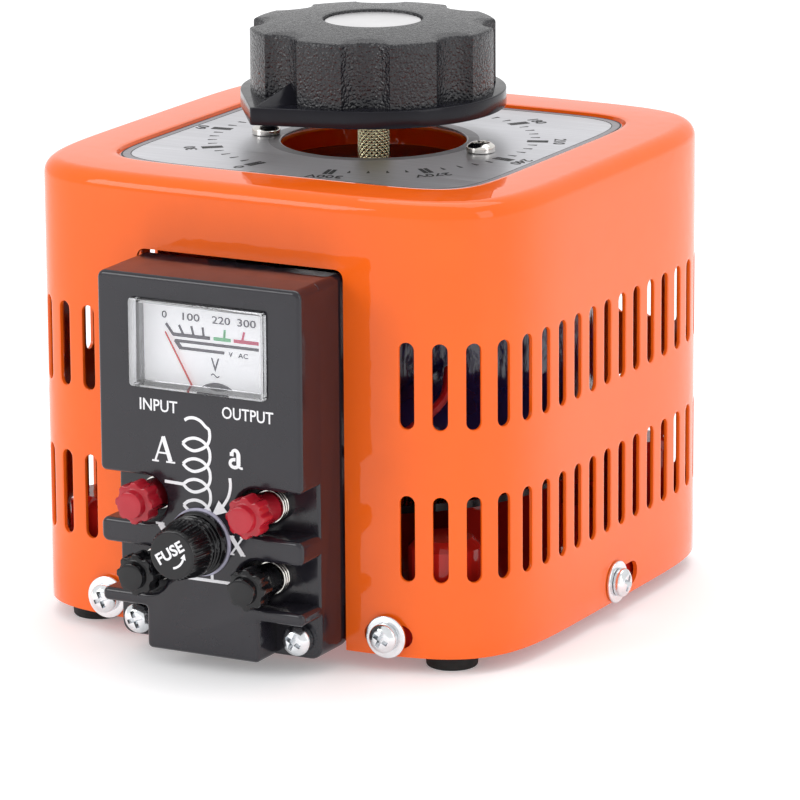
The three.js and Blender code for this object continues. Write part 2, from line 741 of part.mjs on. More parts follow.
for (const [side, sign] of [["left", -1], ["right", 1]]) {
  const frontSeat = BODY.halfDepth + 0.1;
  const toFront = (made) => facingFront(made, sign * COVER_SCREW.frontX, COVER_SCREW.z);
  place(`cover_washer_front_${side}`, toFront(coverWasher().translate([0, 0, frontSeat])), ZINC);
  const screwFront = coverScrew().translate([0, 0, frontSeat + WASHER.thickness + 0.1]);
  place(`cover_screw_front_${side}`, toFront(screwFront), ZINC);

  const sideSeat = BODY.halfWidth + 0.1;
  const toSide = (made) => made.rotate([0, sign * 90, 0]).translate([0, 0, COVER_SCREW.z]);
  place(`cover_washer_side_${side}`, toSide(coverWasher().translate([0, 0, sideSeat])), ZINC);
  const screwSide = coverScrew().translate([0, 0, sideSeat + WASHER.thickness + 0.1]);
  place(`cover_screw_side_${side}`, toSide(screwSide), ZINC);

  const { head, headHeight, shank, shankLength } = BLOCK_SCREW;
  const blockScrew = panScrew(head, headHeight, shank, shankLength).translate([0, 0, -POCKET.back + 0.2]);
  placeOnBlock(`block_screw_${side}`, facingFront(blockScrew, sign * EAR.screwX, EAR.screwZ), ZINC);
}

place("toroid_core", ring(CORE.outer, CORE.inner, CORE.bottom, CORE.top, 48), STEEL);
place("toroid_winding", toroidWinding(), COPPER);
place("insulating_film", ring(FILM.outer, FILM.inner, FILM.bottom, FILM.top, 48), FILM_BLUE);
place("lower_insulator", ring(56, 14, SEAT, COIL.bottom - 0.2, 32), BLACK);
place("clamp_plate", clampPlate(), BLACK);
place("upper_bushing", ring(7.2, SHAFT.radius + 0.2, 88, CLAMP.bottom + CLAMP.thickness + 1.5), BRASS);
place("lower_bushing", ring(HUB.bore - 0.3, SHAFT.radius + 0.2, BASE.bottom + BASE.floor, 22), BRASS);

placeOnBlock("terminal_block", terminalBlock(), BLACK);
placeOnBlock("meter_window", meterWindow(), CLEAR);
const meterHeight = [METER.lowEdge, METER.highEdge];
placeOnBlock("meter_scale_plate", box([-21.5, 21.5], [METER.scale, METER.scale + 0.5], meterHeight), WHITE);
placeOnBlock("meter_case", box([-22, 22], [METER.scale + 0.8, -66], meterHeight), BLACK);
const movement = disc(MOVEMENT.radius, -METER.scale, -METER.scale + 0.4, 32);
placeOnBlock("meter_movement", facingFront(movement, NEEDLE.x, MOVEMENT.z), BLACK);
placeOnBlock("meter_needle", meterNeedle(), RED_PLASTIC);

for (const [side, x] of [["left", -POST.x], ["right", POST.x]]) {
  for (const [row, z, plastic] of [["upper", POST.upper, RED_PLASTIC], ["lower", POST.lower, BLACK]]) {
    placeOnBlock(`post_stud_${row}_${side}`, facingFront(postStud(), x, z), BRASS);
    placeOnBlock(`post_collar_${row}_${side}`, facingFront(postCollar(), x, z), ZINC);
    placeOnBlock(`post_insert_${row}_${side}`, facingFront(postInsert(), x, z), BRASS);
    placeOnBlock(`post_cap_${row}_${side}`, facingFront(postCap(), x, z), plastic);
  }
}

const gasket = ring(FUSE.gasket, FUSE.thread + 0.2, -BLOCK.front, -BLOCK.front + 1, 32);
const cartridge = disc(CARTRIDGE.radius, CARTRIDGE.front - CARTRIDGE.length, CARTRIDGE.front, 20);
placeOnBlock("fuse_gasket", facingFront(gasket, 0, FUSE.z), GASKET);
placeOnBlock("fuse_holder", facingFront(fuseHolder(), 0, FUSE.z), BLACK);
placeOnBlock("fuse_cartridge", facingFront(cartridge, 0, FUSE.z), GLASS);
placeOnBlock("fuse_cap", facingFront(fuseCap(), 0, FUSE.z), BLACK);

place("lead_output", lead([
  [BLOCK.x + POST.x, -66.2, POST.upper],
  [30, -66.4, 54],
  [44, -66, 64],
  [50, -55, 72],
  [47, -46, 78],
], 1.3, 20), RED_PLASTIC);
place("lead_common", lead([
  [BLOCK.x - POST.x, -66.2, POST.lower],
  [-30, -65.8, 31],
  [-42, -62, 40],
  [-48, -52, 46],
  [-46, -46, 52],
], 1.3, 20), BLACK);

place("shaft", shaft(), BRASS);
place("shaft_collar", ring(8.5, SHAFT.radius + 0.15, 22.5, 28.5), STEEL);
place("brush_arm", brushArm(), BLACK);
place("carbon_brush", carbonBrush(), CARBON);
place("knob", knob(), BLACK);
place("knob_disc", disc(KNOB_TOP.recessRadius - 0.5, 160.8, 161.6, 32), ALUMINIUM);

variac.position.y = Y_SHIFT;

export default variac;
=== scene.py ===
"""Looks of a variable autotransformer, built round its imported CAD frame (Blender 4.5).

Pieces are made in millimetres in the making frame: the knob's axis is x = y = 0, z = 0 is the
plane of the feet and the front faces -Y. PLACE then puts them in the row frame, in metres.
"""

import json
import math

import bmesh
import bpy
from mathutils import Matrix, Vector, noise


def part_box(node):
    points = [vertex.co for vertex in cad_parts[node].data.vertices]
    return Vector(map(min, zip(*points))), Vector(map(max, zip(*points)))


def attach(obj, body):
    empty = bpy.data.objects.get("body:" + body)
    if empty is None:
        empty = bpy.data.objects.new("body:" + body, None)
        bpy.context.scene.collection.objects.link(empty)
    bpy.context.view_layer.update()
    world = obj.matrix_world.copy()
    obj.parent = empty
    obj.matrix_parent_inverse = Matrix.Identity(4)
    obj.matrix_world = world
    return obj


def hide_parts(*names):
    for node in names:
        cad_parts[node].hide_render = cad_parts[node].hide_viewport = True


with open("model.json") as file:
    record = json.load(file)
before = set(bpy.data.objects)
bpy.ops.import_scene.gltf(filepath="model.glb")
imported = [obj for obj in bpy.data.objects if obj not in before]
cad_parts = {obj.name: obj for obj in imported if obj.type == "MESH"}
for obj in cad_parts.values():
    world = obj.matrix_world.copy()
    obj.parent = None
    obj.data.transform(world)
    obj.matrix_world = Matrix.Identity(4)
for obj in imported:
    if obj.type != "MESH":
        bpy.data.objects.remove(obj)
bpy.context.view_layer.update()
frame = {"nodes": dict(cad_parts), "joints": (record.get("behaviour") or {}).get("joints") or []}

TAU = 2 * math.pi
# A ring this small stands for a point on the axis.
AXIS_RADIUS = 1e-5
JOINTS = {joint["name"]: joint for joint in frame["joints"]}
AXIS_Y = JOINTS["dial_turn"]["pos_m"][1]
PLACE = Matrix.Translation((0, AXIS_Y, 0)) @ Matrix.Scale(0.001, 4)


def cad_box(node):
    """A CAD node's lowest and highest corners, in millimetres in the making frame."""
    low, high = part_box(node)
    return PLACE.inverted() @ low, PLACE.inverted() @ high


def cad_middle(node):
    """The middle of a CAD node's box, as x, y, z."""
    return [(a + b) / 2 for a, b in zip(*cad_box(node))]


# ---- driving sizes

COVER_LOW, COVER_HIGH = cad_box("housing_cover")
HALF_WIDTH, HALF_DEPTH = COVER_HIGH.x, COVER_HIGH.y
COVER_POWER = 5.5
SHEET = 1.2
BEND = 4.5
PLATE_HALF = cad_box("dial_plate")[1].x
PLATE_TOP = cad_box("dial_plate")[1].z
PLATE_POWER = 7.5
POCKET_FLOOR = cad_box("dial_plate")[0].z
HOLE = 26.0

VENT_FIRST = 49.2
VENTS = 50
VENT_RADIUS = 2.1
VENT_STRAIGHT = 9.75
VENT_ROWS = (37.65, 79.75)

BLOCK_LOW, BLOCK_HIGH = cad_box("terminal_block")
BLOCK_X = (BLOCK_LOW.x + BLOCK_HIGH.x) / 2
BLOCK_HALF = BLOCK_HIGH.x - BLOCK_X
BLOCK_FRONT = BLOCK_LOW.y
POCKET_BACK = -88.2

DIAL_ZERO = math.radians(-107)
POINTER_REST = math.radians(-110.5)
DIAL_SPAN = math.radians(330)
DIAL_VOLTS = 300

CAMERA_PLACE = (737.85, -1375.15, 445.42)
CAMERA_TARGET = (7.68, 0, 54.62)
CAMERA_ROLL = math.radians(-0.391)


# ---- outlines


def polar(radius, angle):
    return radius * math.cos(angle), radius * math.sin(angle)


def squared(half_x, half_y, power, angle):
    """The point of a superellipse at an angle, in plan."""
    c, s = math.cos(angle), math.sin(angle)
    reach = (abs(c) ** power + abs(s) ** power) ** (-1 / power)
    return half_x * reach * c, half_y * reach * s


def rounded(corners, steps=5, closed=False):
    """A polyline of (x, y, radius) corners with each corner turned into an arc."""
    count = len(corners)
    points = []
    for i, (x, y, radius) in enumerate(corners):
        at_end = not closed and i in (0, count - 1)
        if radius == 0 or at_end:
            points.append((x, y))
            continue
        here = Vector((x, y))
        back = (Vector(corners[i - 1][:2]) - here).normalized()
        ahead = (Vector(corners[(i + 1) % count][:2]) - here).normalized()
        half = back.angle(ahead) / 2
        centre = here + (back + ahead).normalized() * (radius / math.sin(half))
        start = here + back * (radius / math.tan(half)) - centre
        turn = (math.pi - 2 * half) * (1 if back.cross(ahead) < 0 else -1)
        for step in range(steps + 1):
            angle = turn * step / steps
            c, s = math.cos(angle), math.sin(angle)
            points.append((centre.x + start.x * c - start.y * s, centre.y + start.x * s + start.y * c))
    return points


def rectangle(left, right, low, high, radius, steps=4):
    """A rectangle's outline with round corners, anticlockwise."""
    corners = [(left, low, radius), (right, low, radius), (right, high, radius), (left, high, radius)]
    return rounded(corners, steps, closed=True)


def inset(outline, distance):
    """A closed anticlockwise outline moved inwards by a distance."""
    moved = []
    count = len(outline)
    for i in range(count):
        here = Vector(outline[i])
        before = (here - Vector(outline[i - 1])).normalized()
        after = (Vector(outline[(i + 1) % count]) - here).normalized()
        normal_a = Vector((-before.y, before.x))
        normal_b = Vector((-after.y, after.x))
        middle = (normal_a + normal_b).normalized()
        stretch = 1 / max(0.5, middle.dot(normal_a))
        moved.append(tuple(here + middle * distance * stretch))
    return moved


# ---- meshes


def skin(bm, rings, wrap=False, caps=True):
    """Quads through closed rings of points. wrap joins the last ring to the first; caps closes the ends."""
    rows = [[bm.verts.new(point) for point in ring] for ring in rings]
    pairs = list(zip(rows, rows[1:]))
    if wrap:
        pairs.append((rows[-1], rows[0]))
    count = len(rows[0])
    for low, high in pairs:
        for i in range(count):
            j = (i + 1) % count
            bm.faces.new((low[i], low[j], high[j], high[i]))
    if caps and not wrap:
        bm.faces.new(rows[0][::-1])
        bm.faces.new(rows[-1])


def even_angles(count):
    return [TAU * i / count for i in range(count)]


def hoops(angles, sizes):
    """Round rings of points at the angles given, one for each (radius, z)."""
    return [[(*polar(radius, angle), z) for angle in angles] for radius, z in sizes]


def at_height(outline, z):
    return [(*point, z) for point in outline]


def turned(bm, profile, segments=48, wrap=False):
    """A solid of revolution about Z from (radius, z) points. Points on the axis close the ends."""
    sizes = [(max(radius, AXIS_RADIUS), z) for radius, z in profile]
    skin(bm, hoops(even_angles(segments), sizes), wrap=wrap)
    bmesh.ops.remove_doubles(bm, verts=bm.verts, dist=1e-4)


def slab(bm, outline, low, high, edge=0.0, low_edge=0.0, steps=4):
    """A prism over an anticlockwise outline, with its top and bottom edges rounded."""
    turns = [math.pi / 2 * step / steps for step in range(steps + 1)]
    rings = [at_height(outline, low)]
    if low_edge:
        rings = [
            at_height(inset(outline, low_edge * (1 - math.sin(turn))), low + low_edge * (1 - math.cos(turn)))
            for turn in turns
        ]
    if edge:
        rings += [
            at_height(inset(outline, edge * (1 - math.cos(turn))), high - edge + edge * math.sin(turn))
            for turn in turns
        ]
    else:
        rings.append(at_height(outline, high))
    skin(bm, rings)


def baked(bm, name="part"):
    """A mesh from a bmesh, which it uses up."""
    mesh = bpy.data.meshes.new(name)
    bm.to_mesh(mesh)
    bm.free()
    return mesh


def staged(name, data):
    """A new object for a mesh, curve, light or camera, linked to the scene."""
    obj = bpy.data.objects.new(name, data)
    bpy.context.scene.collection.objects.link(obj)
    return obj


def added(bm, make, matrix=Matrix.Identity(4)):
    """Runs make on a fresh bmesh and adds what it made to bm, moved by matrix."""
    part = bmesh.new()
    make(part)
    part.transform(matrix)
    mesh = baked(part)
    bm.from_mesh(mesh)
    bpy.data.meshes.remove(mesh)


def built(make, *numbers, **more):
    """A fresh bmesh that holds what make built in it."""
    bm = bmesh.new()
    make(bm, *numbers, **more)
    return bm


def combined(body, other, operation):
    """The exact boolean of two closed bmeshes, which it uses up, as a new bmesh."""
    pair = []
    for bm in (body, other):
        bmesh.ops.recalc_face_normals(bm, faces=bm.faces)
        pair.append(staged("part", baked(bm)))
    modifier = pair[0].modifiers.new("combine", "BOOLEAN")
    modifier.operation = operation
    modifier.object = pair[1]
    modifier.solver = "EXACT"
    result = bmesh.new()
    result.from_object(pair[0], bpy.context.evaluated_depsgraph_get())
    for obj in pair:
        bpy.data.meshes.remove(obj.data)
    return result


def piece(name, bm, material, body, slot, replaces=(), crease=35, matrix=Matrix.Identity(4)):
    """Turns a bmesh in the making frame into a shaded object that rides on a body."""
    bm.transform(PLACE @ matrix)
    bmesh.ops.recalc_face_normals(bm, faces=bm.faces)
    mesh = baked(bm, name)
    mesh.shade_smooth()
    mesh.set_sharp_from_angle(angle=math.radians(crease))
    mesh.materials.append(material)
    obj = staged(name, mesh)
    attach(obj, body)
    if replaces:
        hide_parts(*replaces)


def facing_front(x, z):
    """Places what was made along +Z so that it points along -Y from (x, 0, z)."""
    return Matrix.Translation((x, 0, z)) @ Matrix.Rotation(math.pi / 2, 4, "X")


def stroke(bm, points, widths, low, high):
    """A flat ribbon along (x, y) points, with a width at each, between two heights."""
    if isinstance(widths, (int, float)):
        widths = [widths] * len(points)
    left, right = [], []
    for i, point in enumerate(points):
        ahead = Vector(points[min(i + 1, len(points) - 1)]) - Vector(points[max(i - 1, 0)])
        side = Vector((-ahead.y, ahead.x)).normalized() * widths[i] / 2
        left.append(Vector(point) + side)
        right.append(Vector(point) - side)
    for i in range(len(points) - 1):
        quad = [right[i], right[i + 1], left[i + 1], left[i]]
        skin(bm, [at_height(quad, low), at_height(quad, high)])


class Pen:
    """Draws flat ribbons in one mesh, each a hair higher than the last, so that none share a face."""

    def __init__(self, low, high):
        self.bm = bmesh.new()
        self.low, self.high = low, high

    def line(self, points, widths):
        self.high += 0.002
        stroke(self.bm, points, widths, self.low, self.high)

    def text(self, words, x, z, height, width):
        place = Matrix.Translation((x, z, (self.low + self.high) / 2))
        lettering(self.bm, words, height, place, bold=0.04, thick=self.high - self.low, width=width)


def ribbon_loop(bm, outer, inner, low, high):
    """A closed flat band between two outlines with the same number of points."""
    corners = ((outer, low), (outer, high), (inner, high), (inner, low))
    skin(bm, [at_height(*corner) for corner in corners], wrap=True)


def lettering(bm, text, height, matrix, bold, thick=0.06, stretch=1.0, width=None):
    """Text in Blender's own font, centred on its place, as a thin solid of an exact height."""
    curve = bpy.data.curves.new("text", "FONT")
    curve.body = text
    curve.size = height / 0.7
    curve.extrude = thick / 2
    curve.offset = bold
    curve.resolution_u = 3
    obj = staged("text", curve)
    bpy.context.view_layer.update()
    mesh = bpy.data.meshes.new_from_object(obj.evaluated_get(bpy.context.evaluated_depsgraph_get()))
    across = [vertex.co.x for vertex in mesh.vertices]
    up = [vertex.co.y for vertex in mesh.vertices]
    scale_y = height / (max(up) - min(up))
    scale_x = width / (max(across) - min(across)) if width else scale_y * stretch
    centre = Matrix.Translation((-(max(across) + min(across)) / 2, -(max(up) + min(up)) / 2, 0))
    mesh.transform(matrix @ Matrix.Diagonal((scale_x, scale_y, 1, 1)) @ centre)
    bm.from_mesh(mesh)
    bpy.data.objects.remove(obj)
    bpy.data.curves.remove(curve)
    bpy.data.meshes.remove(mesh)


# ---- materials


class Surface:
    """A Principled material whose colour, roughness and bump come from procedural nodes."""

    def __init__(self, name, color, roughness, metallic=0.0, **sockets):
        self.material = bpy.data.materials.new(name)
        self.material.use_nodes = True
        self.tree = self.material.node_tree
        self.shader = self.tree.nodes["Principled BSDF"]
        self.color = (*color, 1)
        self.shader.inputs["Base Color"].default_value = self.color
        self.shader.inputs["Roughness"].default_value = roughness
        self.shader.inputs["Metallic"].default_value = metallic
        for socket, value in sockets.items():
            self.shader.inputs[socket.replace("_", " ")].default_value = value
        self.roughness = roughness
        self.coordinates = self.node("ShaderNodeTexCoord").outputs["Object"]

    def node(self, kind, **values):
        made = self.tree.nodes.new(kind)
        for key, value in values.items():
            setattr(made, key, value)
        return made

    def link(self, source, target):
        self.tree.links.new(source, target)

    def stretched(self, scale):
        mapping = self.node("ShaderNodeMapping")
        mapping.inputs["Scale"].default_value = scale
        self.link(self.coordinates, mapping.inputs["Vector"])
        return mapping.outputs["Vector"]

    def noise(self, scale, detail=3.0, vector=None, distortion=0.0):
        """Noise with features about 1000 / scale millimetres across."""
        made = self.node("ShaderNodeTexNoise")
        made.inputs["Scale"].default_value = scale
        made.inputs["Detail"].default_value = detail
        made.inputs["Distortion"].default_value = distortion
        self.link(vector or self.coordinates, made.inputs["Vector"])
        return made.outputs["Fac"]

    def ramp(self, value, stops):
        """A colour ramp through (position, colour) stops."""
        made = self.node("ShaderNodeValToRGB")
        elements = made.color_ramp.elements
        while len(elements) < len(stops):
            elements.new(0.5)
        for element, (position, color) in zip(elements, stops):
            element.position = position
            element.color = (*color, 1)
        self.link(value, made.inputs["Fac"])
        return made.outputs["Color"]

    def spread(self, value, low, high):
        """A noise value, which mostly lies in 0.3 to 0.7, stretched to low..high."""
        made = self.node("ShaderNodeMapRange")
        for socket, number in zip(("From Min", "From Max", "To Min", "To Max"), (0.3, 0.7, low, high)):
            made.inputs[socket].default_value = number
        self.link(value, made.inputs["Value"])
        return made.outputs["Result"]

    def mottle(self, scale, amount):
        """Lets the colour drift darker and lighter by a share of itself."""
        dark = [c * (1 - amount) for c in self.color[:3]]
        light = [min(1, c * (1 + amount)) for c in self.color[:3]]
        color = self.ramp(self.noise(scale, 4), [(0.3, dark), (0.7, light)])
        self.link(color, self.shader.inputs["Base Color"])
        return self

    def worn(self, scale, amount):
        """Lets the roughness drift either way by an amount."""
        low, high = max(0.02, self.roughness - amount), self.roughness + amount
        value = self.spread(self.noise(scale), low, high)
        self.link(value, self.shader.inputs["Roughness"])
        return self

    def bump(self, height, strength, distance, coat=False):
        """Bumps over any that are there already; distance is in millimetres."""
        made = self.node("ShaderNodeBump")
        made.inputs["Strength"].default_value = strength
        made.inputs["Distance"].default_value = distance * 0.001
        self.link(height, made.inputs["Height"])
        target = self.shader.inputs["Normal"]
        if target.is_linked:
            self.link(target.links[0].from_socket, made.inputs["Normal"])
        self.link(made.outputs["Normal"], target)
        if coat:
            self.link(made.outputs["Normal"], self.shader.inputs["Coat Normal"])
        return self


def enamel(name, color):
    made = Surface(name, color, 0.3, Specular_IOR_Level=0.0, Coat_Weight=1.0, Coat_Roughness=0.03,
                   Coat_IOR=1.42)
    made.mottle(60, 0.03).worn(300, 0.06)
    made.bump(made.noise(260, 1.5), 0.12, 0.4, coat=True)
    return made.material


def moulded(name, color, roughness, grain=0.12, specular=0.5):
    """Moulded plastic: a fine spark-eroded grain and faint patches of sheen."""
    made = Surface(name, color, roughness, Specular_IOR_Level=specular)
    made.mottle(120, 0.08).worn(250, 0.06)
    made.bump(made.noise(1800, 2), grain, 0.08)
    return made.material


def leather_plastic(name, color):
    """Black plastic with a leather grain: raised pebbles parted by fine creases."""
    made = Surface(name, color, 0.26, Specular_IOR_Level=0.55)
    made.mottle(500, 0.15).worn(1300, 0.08)
    pebbles = made.node("ShaderNodeTexVoronoi", feature="SMOOTH_F1")
    pebbles.inputs["Scale"].default_value = 1250
    pebbles.inputs["Smoothness"].default_value = 0.5
    # The pebbles' places drift by up to 1.2 mm, so that their rows don't show.
    warped = made.node("ShaderNodeVectorMath", operation="ADD")
    drift = made.node("ShaderNodeTexNoise")
    drift.inputs["Scale"].default_value = 700
    scaled = made.node("ShaderNodeVectorMath", operation="SCALE")
    scaled.inputs["Scale"].default_value = 0.0012
    made.link(made.coordinates, drift.inputs["Vector"])
    made.link(drift.outputs["Color"], scaled.inputs[0])
    made.link(made.coordinates, warped.inputs[0])
    made.link(scaled.outputs["Vector"], warped.inputs[1])
    made.link(warped.outputs["Vector"], pebbles.inputs["Vector"])
    made.bump(pebbles.outputs["Distance"], 0.8, -0.34)
    made.bump(made.noise(2600, 2), 0.3, 0.08)
    return made.material


def plated(name, color, roughness, blotch=0.08):
    """Plated steel: bright, with faint staining and fine scratches."""
    made = Surface(name, color, roughness, metallic=1.0)
    made.mottle(400, blotch).worn(800, 0.08)
    scratches = made.noise(900, 2, made.stretched((1, 1, 8)))
    made.bump(scratches, 0.08, 0.05)
    return made.material


def rubbery(name, color, roughness=0.75):
    made = Surface(name, color, roughness, Specular_IOR_Level=0.35)
    made.mottle(300, 0.15).worn(400, 0.08)
    made.bump(made.noise(1500, 3), 0.3, 0.1)
    return made.material


def brushed_aluminium(name):
    """Sheet brushed along X: long fine streaks in colour, roughness and bump."""
    made = Surface(name, (0.60, 0.60, 0.63), 0.34, metallic=0.9, Anisotropic=0.5)
    streaks = made.noise(1400, 5, made.stretched((0.02, 1, 1)))
    color = made.ramp(streaks, [(0.25, (0.50, 0.50, 0.53)), (0.75, (0.68, 0.68, 0.71))])
    made.link(color, made.shader.inputs["Base Color"])
    made.link(made.spread(streaks, 0.28, 0.42), made.shader.inputs["Roughness"])
    made.bump(streaks, 0.12, 0.03)
    return made.material


def spun_aluminium(name):
    """A turned disc: rings about the knob's axis."""
    made = Surface(name, (0.86, 0.85, 0.86), 0.3, metallic=1.0)
    place = made.node("ShaderNodeMapping")
    place.inputs["Location"].default_value = (0, -AXIS_Y, 0)
    made.link(made.coordinates, place.inputs["Vector"])
    rings = made.node("ShaderNodeTexWave", wave_type="RINGS", rings_direction="Z")
    rings.inputs["Scale"].default_value = 900
    rings.inputs["Distortion"].default_value = 1.5
    rings.inputs["Detail"].default_value = 2
    made.link(place.outputs["Vector"], rings.inputs["Vector"])
    made.mottle(80, 0.05)
    made.bump(rings.outputs["Fac"], 0.1, 0.02)
    return made.material


def clear(name, color, roughness, ior, ripple):
    made = Surface(name, color, roughness, Transmission_Weight=1.0, IOR=ior)
    made.bump(made.noise(120, 1), ripple, 0.1)
    return made.material


def printed(name, color, roughness=0.5, glow=0.0):
    """Ink: slightly uneven cover and sheen, and a painted glow where glow is given."""
    made = Surface(name, color, roughness, Specular_IOR_Level=0.25, Emission_Color=(1, 1, 1, 1),
                   Emission_Strength=glow)
    made.mottle(2500, 0.05).worn(1200, 0.08)
    made.bump(made.noise(3000, 2), 0.08, 0.02)
    return made.material


ORANGE = enamel("orange_enamel", (0.87, 0.125, 0.008))
RED_PAINT = enamel("red_enamel", (0.46, 0.015, 0.010))
BLOCK_BLACK = moulded("phenolic_black", (0.014, 0.013, 0.018), 0.16)
KNOB_BLACK = leather_plastic("leather_black", (0.008, 0.0078, 0.011))
FLANGE_BLACK = moulded("smooth_black", (0.007, 0.0068, 0.011), 0.16, grain=0.05, specular=0.22)
GLOSS_BLACK = moulded("gloss_black", (0.006, 0.006, 0.007), 0.12, grain=0.04, specular=0.4)
GLOSS_RED = moulded("gloss_red", (0.40, 0.010, 0.022), 0.2, grain=0.05)
RUBBER = rubbery("foot_rubber", (0.012, 0.012, 0.012))
GASKET = rubbery("gasket_grey", (0.42, 0.41, 0.52), 0.5)
ZINC = plated("bright_zinc", (0.78, 0.80, 0.82), 0.17)
YELLOW_ZINC = plated("yellow_zinc", (0.80, 0.74, 0.48), 0.18, blotch=0.12)
NICKEL = plated("nickel", (0.72, 0.70, 0.66), 0.16)
BRASS = plated("brass", (0.68, 0.48, 0.17), 0.26)
STEEL = plated("core_steel", (0.30, 0.31, 0.33), 0.4, blotch=0.15)
ALUMINIUM = brushed_aluminium("dial_aluminium")
DISC = spun_aluminium("knob_disc_aluminium")
ACRYLIC = clear("clear_acrylic", (0.98, 0.985, 1.0), 0.02, 1.49, 0.02)
TUBE = clear("fuse_glass", (0.95, 0.98, 0.97), 0.02, 1.5, 0.05)
# The scale has a faint painted glow, which stands in for the light that the clear window over it holds back.
WHITE_FACE = printed("scale_white", (0.93, 0.93, 0.95), 0.55, glow=0.3)
INK_BLACK = printed("ink_black", (0.015, 0.015, 0.016))
INK_GREY = printed("ink_grey", (0.16, 0.155, 0.18))
INK_GREEN = printed("ink_green", (0.25, 0.66, 0.36))
INK_RED = printed("ink_red", (0.80, 0.16, 0.26))
MOVEMENT_GREY = moulded("movement_grey", (0.16, 0.155, 0.18), 0.4)
INK_WHITE = printed("ink_white", (0.82, 0.82, 0.84))
NEEDLE_RED = printed("needle_red", (0.88, 0.13, 0.12), 0.35)
CABLE_RED = rubbery("cable_red", (0.50, 0.012, 0.014), 0.4)
CABLE_BLACK = rubbery("cable_black", (0.012, 0.012, 0.012), 0.45)
CARBON = rubbery("carbon", (0.020, 0.020, 0.021), 0.55)
WIRE = plated("enamelled_wire", (0.42, 0.13, 0.05), 0.3, blotch=0.2)


def film_material():
    made = Surface("film_navy", (0.010, 0.010, 0.055), 0.14, Coat_Weight=0.6, Coat_Roughness=0.08)
    made.mottle(90, 0.4)
    made.bump(made.noise(110, 4, made.stretched((1, 1, 0.5)), 1.0), 0.7, 1.2)
    return made.material


FILM = film_material()


# ---- cover

WALK_STEPS = 7200
WALK = [
    squared(HALF_WIDTH, HALF_DEPTH, COVER_POWER, -math.pi / 2 + TAU * i / WALK_STEPS)
    for i in range(WALK_STEPS + 1)
]
WALKED = [0.0]
for before, after in zip(WALK, WALK[1:]):
    WALKED.append(WALKED[-1] + math.dist(before, after))
GIRTH = WALKED[-1]
PITCH = (GIRTH - 2 * VENT_FIRST) / (VENTS - 1)


def wall_point(distance, depth, z):
    """The cover's wall at a distance walked from the front's middle, moved inwards by a depth."""
    distance %= GIRTH
    low, high = 0, WALK_STEPS
    while high - low > 1:
        middle = (low + high) // 2
        if WALKED[middle] > distance:
            high = middle
        else:
            low = middle
    share = (distance - WALKED[low]) / (WALKED[high] - WALKED[low])
    x = WALK[low][0] + share * (WALK[high][0] - WALK[low][0])
    y = WALK[low][1] + share * (WALK[high][1] - WALK[low][1])
    nx = math.copysign(abs(x / HALF_WIDTH) ** (COVER_POWER - 1), x) / HALF_WIDTH
    ny = math.copysign(abs(y / HALF_DEPTH) ** (COVER_POWER - 1), y) / HALF_DEPTH
    length = math.hypot(nx, ny)
    return x - depth * nx / length, y - depth * ny / length, z


CELL_TOP_STEPS = 6
ARC_STEPS = 12
CELL_HALF = 15.85
# Heights down a vent cell's side, from its middle: the slot's straight part, then round its end.
CELL_SIDE = (0, 4.9, VENT_STRAIGHT, 11.8, 13.8, CELL_HALF)


def cell_loop(grow=None):
    """Points round a vent from its cell's corner: on the cell's edge, or on the slot grown by a distance."""
    side = [-z for z in CELL_SIDE[:0:-1]] + list(CELL_SIDE)
    if grow is None:
        loop = [(PITCH / 2, z) for z in side[:-1]]
        loop += [(PITCH / 2 - PITCH * i / CELL_TOP_STEPS, CELL_HALF) for i in range(CELL_TOP_STEPS)]
        return loop + [(-x, -z) for x, z in loop]
    radius = VENT_RADIUS + grow
    quarter = [math.pi / 2 * i / (ARC_STEPS / 2) for i in range(ARC_STEPS // 2 + 1)]
    corner = ARC_STEPS // 4
    loop = []
    for z in side[:-1]:
        if abs(z) <= VENT_STRAIGHT:
            loop.append((radius, z))
        else:
            turn = quarter[CELL_SIDE.index(abs(z)) - 2]
            up = math.copysign(VENT_STRAIGHT + radius * math.sin(turn), z)
            loop.append((radius * math.cos(turn), up))
    for i in range(CELL_TOP_STEPS):
        turn = quarter[corner] + i * (math.pi - 2 * quarter[corner]) / CELL_TOP_STEPS
        loop.append((radius * math.cos(turn), VENT_STRAIGHT + radius * math.sin(turn)))
    return loop + [(-x, -z) for x, z in loop]


def cover_columns():
    """Distances round the wall of the mesh's columns: the strips of the vents, then the front."""
    edges = [VENT_FIRST + (i - 0.5) * PITCH for i in range(VENTS + 1)]
    step = PITCH / CELL_TOP_STEPS
    columns = [edges[0] + step * i for i in range(VENTS * CELL_TOP_STEPS)]
    front = GIRTH - edges[-1] + edges[0]
    front_steps = round(front / step)
    columns += [edges[-1] + front * i / front_steps for i in range(front_steps)]
    return columns


def top_rings(columns):
    """Rings of the cover's outer face from the wall up over the bend to the plate's seat and the hole."""
    top = COVER_HIGH.z
    rings = []
    for step in range(9):
        angle = math.pi / 2 * step / 8
        rings.append([
            wall_point(s, BEND * (1 - math.cos(angle)), top - BEND + BEND * math.sin(angle)) for s in columns
        ])
    angles = [math.atan2(y, x) for x, y, _ in rings[0]]
    for half, z in (
        (PLATE_HALF + 2.2, top),
        (PLATE_HALF + 1.2, top),
        (PLATE_HALF + 0.8, top - 0.15),
        (PLATE_HALF + 0.5, POCKET_FLOOR + 0.2),
        (PLATE_HALF + 0.2, POCKET_FLOOR),
    ):
        rings.append([(*squared(half, half, PLATE_POWER, angle), z) for angle in angles])
    return rings + hoops(angles, (
        (HOLE + 1, POCKET_FLOOR), (HOLE + 0.1, POCKET_FLOOR), (HOLE, POCKET_FLOOR - 0.2)))


